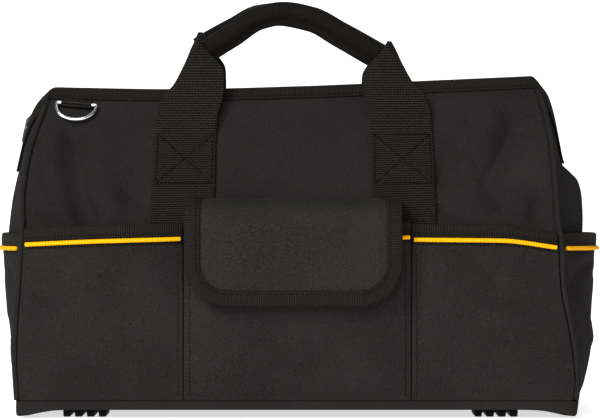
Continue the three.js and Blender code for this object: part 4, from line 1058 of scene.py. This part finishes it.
def strap_grid(face, side, columns):
    """Strap's outer face: on the wall up to the place where it leaves, then free, narrowing and bowed, to the grip."""
    middle = STRAP_MIDDLE[side]
    c = np.linspace(-1, 1, columns)[None, :]
    tuck = up_at(POCKET_HEIGHT - STRAP_TUCK, 0.5)
    up = np.linspace(tuck, STRAP_LEAVE, 80)[:, None]
    x = middle + c * WEBBING_WIDTH / 2
    lift = GAP + WEBBING + GAP * (up == tuck)
    on_wall = wall_point(FRONT, across_at(x, up), up, lift)
    on_wall[..., 0] = np.broadcast_to(x, on_wall.shape[:2])
    leave = on_wall[-1, columns // 2]
    share = np.linspace(0, 1, 100)[1:, None]
    top = GRIP_HEIGHT - GRIP_RISE + GRIP_RADIUS - (0 if side == LEFT else APEX_DROP)
    top = top + (BACK_LIFT if (face, side) == (BACK, LEFT) else 0)
    near = GRIP_OFFSET + GRIP_RADIUS + GAP + WEBBING
    z = mix(leave[2], top, share)
    y = -mix(near, abs(leave[1]), read(LEG_UP, LEG_OFF, share))
    turn = 1 if side == LEFT else -1
    outer = middle + turn * read(LEG_UP, LEG_OUTER, share) * WEBBING_WIDTH / 2
    inner = middle + turn * read(LEG_UP, LEG_INNER, share) * WEBBING_WIDTH / 2
    low, high = np.minimum(outer, inner), np.maximum(outer, inner)
    x = mix(low, high, (c + 1) / 2)
    narrow = 1 - np.clip((high - low) / WEBBING_WIDTH, 0, 1)
    bow = 5.0 * np.minimum(narrow, 0.6) * (1 - c**2)
    free = stack(x, y - bow, z)
    grid = np.concatenate([on_wall, free])
    for _ in range(6):
        grid[1:-1] = (grid[:-2] + 2 * grid[1:-1] + grid[2:]) / 4
    grid[..., 1] *= -face
    return grid


def make_straps(webbing, thread):
    """Straps of both handles, each with a stitched box and cross where it is sewn to the wall."""
    half = WEBBING_WIDTH / 2 - BOX_INSET
    corners = [(-half, BOX_LOW), (half, BOX_LOW), (half, BOX_HIGH), (-half, BOX_HIGH)]
    seams = [(corners[i], corners[j]) for i, j in ((0, 1), (1, 2), (2, 3), (3, 0), (0, 2), (1, 3))]
    columns = 27
    share = np.linspace(0, 1, 40)
    for face in (FRONT, BACK):
        for side in (LEFT, RIGHT):
            name = f"{FACE_WORD[face]}_handle_{SIDE_WORD[side]}_strap"
            grid = strap_grid(face, side, columns)
            u = np.broadcast_to(run_length(grid[:, columns // 2])[:, None], grid.shape[:2])
            v = np.broadcast_to(np.linspace(-WEBBING_WIDTH / 2, WEBBING_WIDTH / 2, columns), grid.shape[:2])
            part = sheet_part(grid, WEBBING, (0, face, 0), u, v)
            put_piece(name, [part], webbing, [name])
            rows = []
            for (x0, z0), (x1, z1) in seams:
                x = STRAP_MIDDLE[side] + mix(x0, x1, share)
                up = up_at(mix(z0, z1, share), across_at(x, 0.76))
                across = across_at(x, up)
                line = wall_point(face, across, up, GAP + WEBBING + 0.05)
                line[:, 0] = x
                rows.append(stitch_parts(line, wall_normal(face, across, up), *STRAP_STITCH))
            put_piece(f"{name}_stitches", rows, thread)


def make_grips(webbing, thread):
    """Grips: a teardrop section carried along the arched middle line, with a row of stitches on its edge."""
    side, up = np.array(GRIP_SIDE), np.array(GRIP_UP)
    section = np.concatenate([np.stack([side, up], -1), np.stack([-side[:0:-1], up[:0:-1]], -1)]) * GRIP_RADIUS
    whole = np.concatenate([section, section[:1]])
    section = resample(whole, run_length(whole), 1.1)[:-1]
    along = np.linspace(-GRIP_TUCK, 1 + GRIP_TUCK, 156)
    for face in (FRONT, BACK):
        name = f"{FACE_WORD[face]}_handle_grip"
        points = stack(grip_x(along), face * GRIP_OFFSET, grip_z(face, along))
        across = np.broadcast_to([0.0, 1.0, 0.0], points.shape)
        out = np.cross(unit(np.gradient(points, axis=0)), across)
        size = 0.97 + 0.07 * smoothstep(along, 0.55, 0.95) + 0.012 * ripple(points[:, 0], points[:, 2], 30, 95 + face)
        size = size[:, None, None]
        grid = points[:, None] + across[:, None] * section[:, :1] * size + out[:, None] * section[:, 1:] * size
        v = np.append(run_length(section), run_length(whole)[-1])[None, :]
        part = tube_part(grid, points[0], points[-1], run_length(points)[:, None], v)
        piece = put_piece(name, [part], webbing, [name])
        rows = []
        for turn in (-1, 1):
            line = points - out * (1.22 * GRIP_RADIUS) + across * (turn * 0.27 * GRIP_RADIUS)
            rows.append(stitch_parts(line[8:-8], across[8:-8] * turn, *GRIP_STITCH))
        put_piece(f"{name}_stitches", rows, thread)


# Ring and loop


def loop_frame():
    """Frame of the loop on the roof: a point, the way along the bar, away from the roof and down the slope."""
    across = across_at(seam_at(LEFT, 1.0) + RING_INSET, 1.0)
    top = wall_point(FRONT, across, 1.0)
    normal = wall_normal(FRONT, across, 0.95)
    down = np.cross([1.0, 0.0, 0.0], normal)
    tilt = np.radians(-RING_TILT)
    slope = down * np.cos(tilt) + np.cross(normal, down) * np.sin(tilt)
    bar = unit(np.cross(normal, slope))
    drop = RIM_TAPE_WIDTH + LOOP_DROP + LOOP_WIDTH / 2 * abs(np.sin(tilt))
    return top + down * drop, bar, normal, slope


EYE = RING_WIRE / 2 + GAP
EYE_OUT = GAP + LOOP_WALL + EYE
EYE_DOWN = LOOP_TAIL + LOOP_WALL + EYE


def make_ring_loop(webbing):
    """Loop: webbing that runs down on the roof, round the ring's bar and back up on itself."""
    origin, bar, normal, slope = loop_frame()
    radius = EYE + LOOP_WALL / 2
    turn = np.radians(np.linspace(-75, 180, 60))
    circle = np.stack([EYE_OUT + radius * np.cos(turn), EYE_DOWN + radius * np.sin(turn)], -1)
    upper = np.array([[GAP + 1.5 * LOOP_WALL, 0.0], [GAP + 1.7 * LOOP_WALL, 0.6], [GAP + 2.2 * LOOP_WALL, 1.4]])
    lower = np.array([[GAP + 0.5 * LOOP_WALL, EYE_DOWN - 1.6], [GAP + 0.5 * LOOP_WALL, 0.0]])
    line = np.concatenate([upper, circle, lower])
    line = resample(line, run_length(line), 0.4)
    for _ in range(3):
        line[1:-1] = (line[:-2] + line[1:-1] * 2 + line[2:]) / 4
    width = np.linspace(-LOOP_WIDTH / 2, LOOP_WIDTH / 2, 21)
    tangent = unit(np.gradient(line, axis=0))
    side = np.stack([tangent[:, 1], -tangent[:, 0]], -1)
    outer, inner = line + side * LOOP_WALL / 2, line - side * LOOP_WALL / 2

    def place(flat):
        grid = origin + flat[:, None, :1] * normal + flat[:, None, 1:] * slope
        return grid + width[None, :, None] * bar

    u, v = np.broadcast_arrays(run_length(line)[:, None], width[None, :])
    put_piece("ring_loop", [cloth_part(place(outer), place(inner), u, v)], webbing, ["ring_loop"])


def make_ring(metal):
    """Ring: a round wire along a D whose bow is reach x sin(t)^0.8, with its corners rounded by averaging."""
    origin, bar, normal, slope = loop_frame()
    half, reach = (RING_WIDTH - RING_WIRE) / 2, RING_DEPTH - RING_WIRE
    lean = np.arcsin((EYE_OUT - RING_WIRE / 2 - 2 * GAP) / reach)
    away = slope * np.cos(lean) - normal * np.sin(lean)
    middle = origin + normal * EYE_OUT + slope * EYE_DOWN
    t = np.linspace(0, np.pi, 90)
    bow = np.stack([half * np.cos(t), reach * np.abs(np.sin(t)) ** 0.8], -1)
    straight = np.stack([np.linspace(-half, half, 50)[1:-1], np.zeros(48)], -1)
    flat = np.concatenate([bow, straight])
    closed = np.concatenate([flat, flat[:1]])
    run = run_length(closed)
    even = np.linspace(0, run[-1], 241)[:-1]
    flat = np.stack([np.interp(even, run, column) for column in closed.T], -1)
    for _ in range(22):
        flat = (np.roll(flat, 1, axis=0) + 2 * flat + np.roll(flat, -1, axis=0)) / 4
    points = middle + flat[:, :1] * bar + flat[:, 1:] * away
    face = unit(np.cross(away, bar))
    part = cord_part(points, RING_WIRE / 2, 20, face, closed=True)
    put_piece("d_ring", [part], metal, ["d_ring"], body="ring")


# Finishes


class Finish:
    """A material under construction, with short ways to add and join its nodes."""

    def __init__(self, name, colour, roughness):
        self.material = bpy.data.materials.new(name)
        self.material.use_nodes = True
        self.tree = self.material.node_tree
        self.shader = self.tree.nodes["Principled BSDF"]
        self.colour = (*colour, 1.0)
        self.shader.inputs["Roughness"].default_value = roughness
        self.shader.inputs["Base Color"].default_value = self.colour
        self.material.diffuse_color = self.colour

    def node(self, kind, inputs=None, **settings):
        made = self.tree.nodes.new(kind)
        for key, value in settings.items():
            setattr(made, key, value)
        for key, value in (inputs or {}).items():
            self.feed(made.inputs[key], value)
        return made

    def feed(self, socket, value):
        if isinstance(value, bpy.types.NodeSocket):
            self.tree.links.new(value, socket)
        else:
            socket.default_value = value

    def maths(self, operation, *values):
        made = self.node("ShaderNodeMath", operation=operation)
        for socket, value in zip(made.inputs, values):
            self.feed(socket, value)
        return made.outputs[0]

    def place(self):
        return self.node("ShaderNodeTexCoord").outputs["Object"]

    def cloth(self):
        split = self.node("ShaderNodeSeparateXYZ", {0: self.node("ShaderNodeUVMap", uv_map="cloth").outputs[0]})
        return split.outputs[0], split.outputs[1]

    def noise(self, scale, detail=2.0, vector=None):
        made = self.node("ShaderNodeTexNoise", {"Vector": vector or self.place(), "Scale": scale, "Detail": detail})
        return made.outputs["Fac"]

    def wave(self, coordinate, pitch):
        """0 to 1 and back over each pitch, as a sine."""
        turned = self.maths("SINE", self.maths("MULTIPLY", coordinate, 2 * np.pi / pitch))
        return self.maths("MULTIPLY_ADD", turned, 0.5, 0.5)

    def shade(self, value, low, high, start=0.0, end=1.0):
        """Base colour times a factor that goes from low to high as the value goes from start to end."""
        ends = {"From Min": start, "From Max": end, "To Min": low, "To Max": high}
        factor = self.node("ShaderNodeMapRange", {"Value": value, **ends}).outputs[0]
        mixed = self.node("ShaderNodeVectorMath", operation="SCALE")
        mixed.inputs[0].default_value = self.colour[:3]
        self.feed(mixed.inputs["Scale"], factor)
        self.feed(self.shader.inputs["Base Color"], mixed.outputs[0])

    def roughen(self, value, low, high):
        made = self.node("ShaderNodeMapRange", {"Value": value, "To Min": low, "To Max": high})
        self.feed(self.shader.inputs["Roughness"], made.outputs[0])

    def bump(self, height, strength, distance):
        made = self.node("ShaderNodeBump", {"Height": height, "Strength": strength, "Distance": distance})
        self.feed(self.shader.inputs["Normal"], made.outputs[0])

    def sheen(self, weight, roughness, tint):
        self.shader.inputs["Sheen Weight"].default_value = weight
        self.shader.inputs["Sheen Roughness"].default_value = roughness
        self.shader.inputs["Sheen Tint"].default_value = (*tint, 1.0)


def woven_cloth(name, colour, pitch, roughness, sheen):
    """Plain weave: two sets of threads cross as a product of sines, with a mottled colour."""
    finish = Finish(name, colour, roughness)
    u, v = finish.cloth()
    weave = finish.maths("MULTIPLY", finish.wave(u, pitch), finish.wave(v, pitch))
    speck = finish.noise(1300.0, 1.0)
    cloud = finish.noise(18.0, 4.0)
    height = finish.maths("ADD", weave, finish.maths("MULTIPLY", speck, 0.8))
    finish.bump(height, 0.55, 0.0004)
    mottle = finish.maths("ADD", finish.maths("MULTIPLY", speck, 0.75), finish.maths("MULTIPLY", cloud, 0.25))
    finish.shade(mottle, 0.6, 1.4, 0.36, 0.64)
    finish.roughen(cloud, roughness - 0.08, roughness + 0.08)
    finish.sheen(sheen, 0.3, (0.9, 0.9, 1.0))
    finish.shader.inputs["Specular IOR Level"].default_value = 0.01
    return finish.material


def ribbed_tape(name, colour, pitch, depth, roughness, contrast):
    """Ribbed weave: ribs cross the tape along its run, each broken into knuckles that shift from rib to rib. The colour
    is darker in the grooves between knuckles, which is painted shade, with a random speck of tone.
    """
    finish = Finish(name, colour, roughness)
    u, v = finish.cloth()
    row = finish.maths("FLOOR", finish.maths("DIVIDE", u, pitch))
    shifted = finish.maths("MULTIPLY_ADD", row, pitch * 0.55, v)
    rib = finish.wave(u, pitch)
    thread = finish.wave(shifted, pitch * 1.1)
    speck = finish.noise(700.0, 1.0)
    knuckle = finish.maths("MULTIPLY", rib, finish.maths("MULTIPLY_ADD", thread, 0.7, 0.3))
    finish.bump(knuckle, 0.9, depth)
    # Painted shade: the colour is darker in the grooves between knuckles, with a random speck of tone
    groove_shade_and_speck = finish.maths("ADD", knuckle, finish.maths("SUBTRACT", finish.maths("MULTIPLY", speck, 0.7), 0.35))
    finish.shade(groove_shade_and_speck, 1 - contrast, 1 + contrast, 0.05, 0.9)
    finish.roughen(speck, roughness - 0.1, roughness + 0.1)
    finish.sheen(0.01, 0.4, (1.0, 0.97, 0.92))
    finish.shader.inputs["Specular IOR Level"].default_value = 0.015
    return finish.material


def piping_cloth(name, colour, pitch):
    finish = Finish(name, colour, 0.6)
    u, _ = finish.cloth()
    rib = finish.wave(u, pitch)
    speck = finish.noise(600.0, 1.0)
    finish.bump(rib, 0.7, 0.0003)
    # Painted shade: the colour is darker in the grooves between ribs, with a random speck of tone
    groove_shade_and_speck = finish.maths("ADD", finish.maths("MULTIPLY", rib, 0.6), finish.maths("MULTIPLY", speck, 0.4))
    finish.shade(groove_shade_and_speck, 0.72, 1.12)
    finish.roughen(speck, 0.55, 0.75)
    finish.shader.inputs["Specular IOR Level"].default_value = 0.05
    return finish.material


def sewing_thread(name, colour):
    finish = Finish(name, colour, 0.5)
    speck = finish.noise(900.0, 1.0)
    finish.bump(speck, 0.4, 0.0002)
    finish.shade(speck, 0.8, 1.25)
    finish.sheen(0.02, 0.3, (1.0, 1.0, 1.0))
    finish.shader.inputs["Specular IOR Level"].default_value = 0.05
    return finish.material


def polished_metal(name, colour, roughness):
    finish = Finish(name, colour, roughness)
    finish.shader.inputs["Metallic"].default_value = 1.0
    scratch = finish.noise(240.0, 4.0)
    finish.roughen(scratch, roughness * 0.7, roughness * 1.6)
    finish.bump(scratch, 0.05, 0.0001)
    finish.shade(scratch, 0.92, 1.06)
    return finish.material


def moulded_rubber(name, colour):
    finish = Finish(name, colour, 0.65)
    grain = finish.noise(900.0, 2.0)
    dust = finish.noise(60.0, 3.0)
    finish.bump(grain, 0.3, 0.0003)
    finish.shade(dust, 0.8, 1.35)
    finish.roughen(grain, 0.55, 0.8)
    finish.shader.inputs["Specular IOR Level"].default_value = 0.1
    return finish.material


def floor_finish(name, colour):
    finish = Finish(name, colour, 0.75)
    finish.shade(finish.noise(2.0, 2.0), 0.995, 1.0)
    finish.shader.inputs["Emission Color"].default_value = (1.0, 1.0, 1.0, 1.0)
    finish.shader.inputs["Emission Strength"].default_value = FLOOR_GLOW
    return finish.material


def settings():
    """The settings that the panel shows."""
    return bpy.context.scene.work_bag


def finishes():
    """The materials, made once from the settings and then found by name."""
    looks = settings()
    makers = {
        "body cloth": lambda n: woven_cloth(n, looks.cloth_colour, looks.weave_pitch, 0.8, 0.0),
        "flap cloth": lambda n: woven_cloth(n, looks.flap_colour, looks.weave_pitch, 0.75, 0.02),
        "binding tape": lambda n: ribbed_tape(n, looks.tape_colour, 0.0018, 0.0005, 0.7, 0.5),
        "handle webbing": lambda n: ribbed_tape(n, looks.webbing_colour, looks.rib_pitch, 0.0005, 0.7, 0.75),
        # The grips' webbing is the handle webbing with finer ribs, and its colour is darkened as painted shade
        "grip webbing": lambda n: ribbed_tape(n, looks.grip_shaded_colour, looks.rib_pitch * 0.8, 0.0004, 0.7, 0.6),
        "yellow piping": lambda n: piping_cloth(n, looks.piping_colour, looks.piping_pitch),
        "sewing thread": lambda n: sewing_thread(n, looks.thread_colour),
        "ring metal": lambda n: polished_metal(n, looks.ring_colour, 0.12),
        "zip metal": lambda n: polished_metal(n, (0.12, 0.12, 0.13), 0.3),
        "foot rubber": lambda n: moulded_rubber(n, looks.rubber_colour),
        "zip tape": lambda n: ribbed_tape(n, (0.012, 0.012, 0.012), 0.0011, 0.0002, 0.7, 0.3),
        "floor": lambda n: floor_finish(n, looks.floor_colour),
    }
    for name, maker in makers.items():
        if name not in bpy.data.materials:
            maker(name)
    return {name: bpy.data.materials[name] for name in makers}


def materials(*names):
    """The named finishes, in the order asked for."""
    made = finishes()
    return [made[name] for name in names]


def make_stage(floor):
    """Floor that curves up behind the bag, three soft lights and the camera."""
    looks = settings()
    scene = bpy.context.scene
    run = np.linspace(-FLOOR_REACH, FLOOR_REACH, 9)
    turn = np.linspace(0, np.pi / 2, 25)
    flat = np.stack([np.linspace(-FLOOR_REACH, FLOOR_BACK, 9), np.zeros(9)], -1)
    curve = np.stack([FLOOR_BACK + FLOOR_BEND * np.sin(turn), FLOOR_BEND * (1 - np.cos(turn))], -1)
    wall = np.stack([np.full(4, FLOOR_BACK + FLOOR_BEND), np.linspace(FLOOR_BEND, BACKDROP_TOP, 4)], -1)
    profile = np.concatenate([flat, curve[1:], wall[1:]])
    grid = stack(run[:, None], profile[None, :, 0], profile[None, :, 1])
    mesh = bpy.data.meshes.new("floor")
    mesh.from_pydata(grid.reshape(-1, 3).tolist(), [], grid_quads(len(run), len(profile)).tolist())
    mesh.polygons.foreach_set("use_smooth", np.ones(len(mesh.polygons), bool))
    mesh.materials.append(floor)
    ground = bpy.data.objects.new("floor", mesh)
    scene.collection.objects.link(ground)
    world = bpy.data.worlds.new("studio")
    world.use_nodes = True
    world.node_tree.nodes["Background"].inputs["Color"].default_value = (1, 1, 1, 1)
    world.node_tree.nodes["Background"].inputs["Strength"].default_value = looks.sky_strength
    scene.world = world
    scene.view_settings.view_transform = "Standard"
    for name, place, size in LIGHTS:
        light = bpy.data.lights.new(name, "AREA")
        light.shape = "RECTANGLE"
        light.size, light.size_y = size
        light.energy = getattr(looks, f"{name}_power")
        lamp = bpy.data.objects.new(name, light)
        lamp.location = place
        aim(lamp, LIGHT_AIM)
        scene.collection.objects.link(lamp)
    view = bpy.data.cameras.new("camera")
    view.lens = looks.camera_focal
    view.sensor_width = SENSOR
    camera = bpy.data.objects.new("camera", view)
    camera.location = (SHIFT[0] * MM, -looks.camera_distance, looks.camera_height)
    aim(camera, (SHIFT[0] * MM, 0, looks.camera_height))
    scene.collection.objects.link(camera)
    scene.camera = camera


def aim(thing, target):
    """Turns a light or the camera to look at a point."""
    way = unit(np.array(target, float) - np.array(thing.location))
    thing.rotation_euler = (np.arccos(-way[2]), 0, np.arctan2(-way[0], way[1]))


# Settings, operators and panel


def colour_setting(name, description, default):
    return bpy.props.FloatVectorProperty(
        name=name, description=description, subtype="COLOR", size=3, min=0, max=1, default=default
    )


def length_setting(name, description, default, low, high):
    return bpy.props.FloatProperty(
        name=name, description=description, unit="LENGTH", default=default, min=low, max=high
    )


def power_setting(name, description, default):
    return bpy.props.FloatProperty(name=name, description=description, unit="POWER", default=default, min=0)


class WorkBagLooks(bpy.types.PropertyGroup):
    """Colours and sizes of the bag's finish."""

    cloth_colour: colour_setting("Cloth", "Body cloth", (0.0177, 0.0165, 0.0159))
    flap_colour: colour_setting("Flap", "Cloth of the flap", (0.0195, 0.0187, 0.0178))
    tape_colour: colour_setting("Tape", "Binding tape", (0.0162, 0.0144, 0.0126))
    webbing_colour: colour_setting("Webbing", "Handle webbing", (0.0178, 0.0161, 0.0141))
    piping_colour: colour_setting("Piping", "Yellow piping", (1.0, 0.46, 0.004))
    # Grip colour: the handle webbing's colour darkened, which is painted shade on the grips
    grip_shaded_colour: colour_setting("Grip", "Webbing of the grips", (0.0105, 0.0096, 0.0086))
    thread_colour: colour_setting("Thread", "Sewing thread", (0.0035, 0.0033, 0.003))
    ring_colour: colour_setting("Ring", "Polished ring", (0.82, 0.82, 0.84))
    rubber_colour: colour_setting("Rubber", "Feet", (0.004, 0.004, 0.004))
    floor_colour: colour_setting("Floor", "Floor and backdrop", (0.92, 0.92, 0.92))
    weave_pitch: length_setting("Weave pitch", "Thread spacing of the cloth", 0.0013, 0.0003, 0.005)
    rib_pitch: length_setting("Rib pitch", "Rib spacing of the webbing", 0.0023, 0.0005, 0.01)
    piping_pitch: length_setting("Piping pitch", "Rib spacing of the piping", 0.0022, 0.0005, 0.01)
    stitch_pitch: length_setting("Stitch pitch", "Middle of one stitch to the next", 0.0034, 0.002, 0.02)
    stitch_length: length_setting("Stitch length", "Seen length of a stitch", 0.0025, 0.001, 0.01)
    crumple: bpy.props.FloatProperty(
        name="Crumple", description="How uneven the cloth lies, from 0 for ironed", default=1.0, min=0, max=2
    )
    key_power: power_setting("Key", "Main light", 68.0)
    fill_power: power_setting("Fill", "Side light", 46.0)
    top_power: power_setting("Top", "Light from above", 5.0)
    sky_strength: bpy.props.FloatProperty(
        name="Sky", description="Strength of the light all round", default=0.16, min=0
    )
    camera_distance: length_setting("Distance", "Camera to the bag's middle", CAMERA_DISTANCE * MM, 0.5, 20)
    camera_height: length_setting("Height", "Camera above the floor", CAMERA_HEIGHT * MM, 0, 10)
    camera_focal: bpy.props.FloatProperty(
        name="Focal length", description="Camera lens in millimetres", default=CAMERA_FOCAL, min=10, max=400
    )


POCKET_FINISHES = ("body cloth", "binding tape", "sewing thread", "yellow piping")


class BagOperator:
    """What the bag's operators share."""

    bl_options = {"REGISTER", "UNDO"}


class WORKBAG_OT_walls(BagOperator, bpy.types.Operator):
    """Build the front and back walls"""

    bl_idname = "workbag.walls"
    bl_label = "Front and Back Walls"

    def execute(self, context):
        make_walls(*materials("body cloth"))
        return {"FINISHED"}


class WORKBAG_OT_ends(BagOperator, bpy.types.Operator):
    """Build the two end walls"""

    bl_idname = "workbag.ends"
    bl_label = "Ends"

    def execute(self, context):
        make_ends(*materials("body cloth"))
        return {"FINISHED"}


class WORKBAG_OT_base(BagOperator, bpy.types.Operator):
    """Build the base"""

    bl_idname = "workbag.base"
    bl_label = "Base"

    def execute(self, context):
        make_base(*materials("body cloth"))
        return {"FINISHED"}


class WORKBAG_OT_feet(BagOperator, bpy.types.Operator):
    """Build the four rubber feet"""

    bl_idname = "workbag.feet"
    bl_label = "Feet"

    def execute(self, context):
        make_feet(*materials("foot rubber"))
        return {"FINISHED"}


class WORKBAG_OT_seam_cords(BagOperator, bpy.types.Operator):
    """Build the covered piping of the corner seams"""

    bl_idname = "workbag.seam_cords"
    bl_label = "Corner Piping"

    def execute(self, context):
        make_seam_cords(*materials("body cloth"))
        return {"FINISHED"}


class WORKBAG_OT_rim_bindings(BagOperator, bpy.types.Operator):
    """Build the tape along the ridge and down the slits"""

    bl_idname = "workbag.rim_bindings"
    bl_label = "Rim Tape"

    def execute(self, context):
        make_rim_bindings(*materials("binding tape", "sewing thread"))
        return {"FINISHED"}


class WORKBAG_OT_zip(BagOperator, bpy.types.Operator):
    """Build the zip and its slider"""

    bl_idname = "workbag.zip"
    bl_label = "Zip"

    def execute(self, context):
        make_zip(*materials("zip tape", "zip metal"))
        return {"FINISHED"}


class WORKBAG_OT_front_pockets(BagOperator, bpy.types.Operator):
    """Build the three front pockets with their tape and piping"""

    bl_idname = "workbag.front_pockets"
    bl_label = "Front Pockets"

    def execute(self, context):
        make_front_pockets(*materials(*POCKET_FINISHES))
        return {"FINISHED"}


class WORKBAG_OT_back_pocket(BagOperator, bpy.types.Operator):
    """Build the back pocket with its tape and piping"""

    bl_idname = "workbag.back_pocket"
    bl_label = "Back Pocket"

    def execute(self, context):
        make_back_pocket(*materials(*POCKET_FINISHES))
        return {"FINISHED"}


class WORKBAG_OT_end_pockets(BagOperator, bpy.types.Operator):
    """Build the two end pockets with their tape and piping"""

    bl_idname = "workbag.end_pockets"
    bl_label = "End Pockets"

    def execute(self, context):
        make_end_pockets(*materials(*POCKET_FINISHES))
        return {"FINISHED"}


class WORKBAG_OT_flap(BagOperator, bpy.types.Operator):
    """Build the flap of the middle pocket"""

    bl_idname = "workbag.flap"
    bl_label = "Flap"

    def execute(self, context):
        make_flap(*materials("flap cloth", "binding tape", "sewing thread"))
        return {"FINISHED"}


class WORKBAG_OT_straps(BagOperator, bpy.types.Operator):
    """Build the four handle straps"""

    bl_idname = "workbag.straps"
    bl_label = "Handle Straps"

    def execute(self, context):
        make_straps(*materials("handle webbing", "sewing thread"))
        return {"FINISHED"}


class WORKBAG_OT_grips(BagOperator, bpy.types.Operator):
    """Build the two rolled grips"""

    bl_idname = "workbag.grips"
    bl_label = "Grips"

    def execute(self, context):
        make_grips(*materials("grip webbing", "sewing thread"))
        return {"FINISHED"}


class WORKBAG_OT_ring(BagOperator, bpy.types.Operator):
    """Build the metal ring and its webbing loop"""

    bl_idname = "workbag.ring"
    bl_label = "Ring and Loop"

    def execute(self, context):
        make_ring_loop(*materials("handle webbing"))
        make_ring(*materials("ring metal"))
        return {"FINISHED"}


class WORKBAG_OT_stage(BagOperator, bpy.types.Operator):
    """Build the floor, the lights and the camera"""

    bl_idname = "workbag.stage"
    bl_label = "Floor, Lights and Camera"

    def execute(self, context):
        make_stage(*materials("floor"))
        return {"FINISHED"}


OPERATORS = (
    WORKBAG_OT_walls,
    WORKBAG_OT_ends,
    WORKBAG_OT_base,
    WORKBAG_OT_feet,
    WORKBAG_OT_seam_cords,
    WORKBAG_OT_rim_bindings,
    WORKBAG_OT_zip,
    WORKBAG_OT_front_pockets,
    WORKBAG_OT_back_pocket,
    WORKBAG_OT_end_pockets,
    WORKBAG_OT_flap,
    WORKBAG_OT_straps,
    WORKBAG_OT_grips,
    WORKBAG_OT_ring,
    WORKBAG_OT_stage,
)


class WORKBAG_PT_panel(bpy.types.Panel):
    """Lists the bag's settings and the operators that build it"""

    bl_idname = "WORKBAG_PT_panel"
    bl_label = "Work Bag"
    bl_space_type = "VIEW_3D"
    bl_region_type = "UI"
    bl_category = "Work Bag"

    def draw(self, context):
        looks = context.scene.work_bag
        for name in WorkBagLooks.__annotations__:
            self.layout.prop(looks, name)
        for operator in OPERATORS:
            self.layout.operator(operator.bl_idname)


CLASSES = (WorkBagLooks, *OPERATORS, WORKBAG_PT_panel)


def register():
    for each in CLASSES:
        bpy.utils.register_class(each)
    bpy.types.Scene.work_bag = bpy.props.PointerProperty(type=WorkBagLooks)


def unregister():
    del bpy.types.Scene.work_bag
    for each in reversed(CLASSES):
        bpy.utils.unregister_class(each)


def main():
    register()
    for operator in OPERATORS:
        group, name = operator.bl_idname.split(".")
        getattr(getattr(bpy.ops, group), name)()


if __name__ == "__main__":
    main()
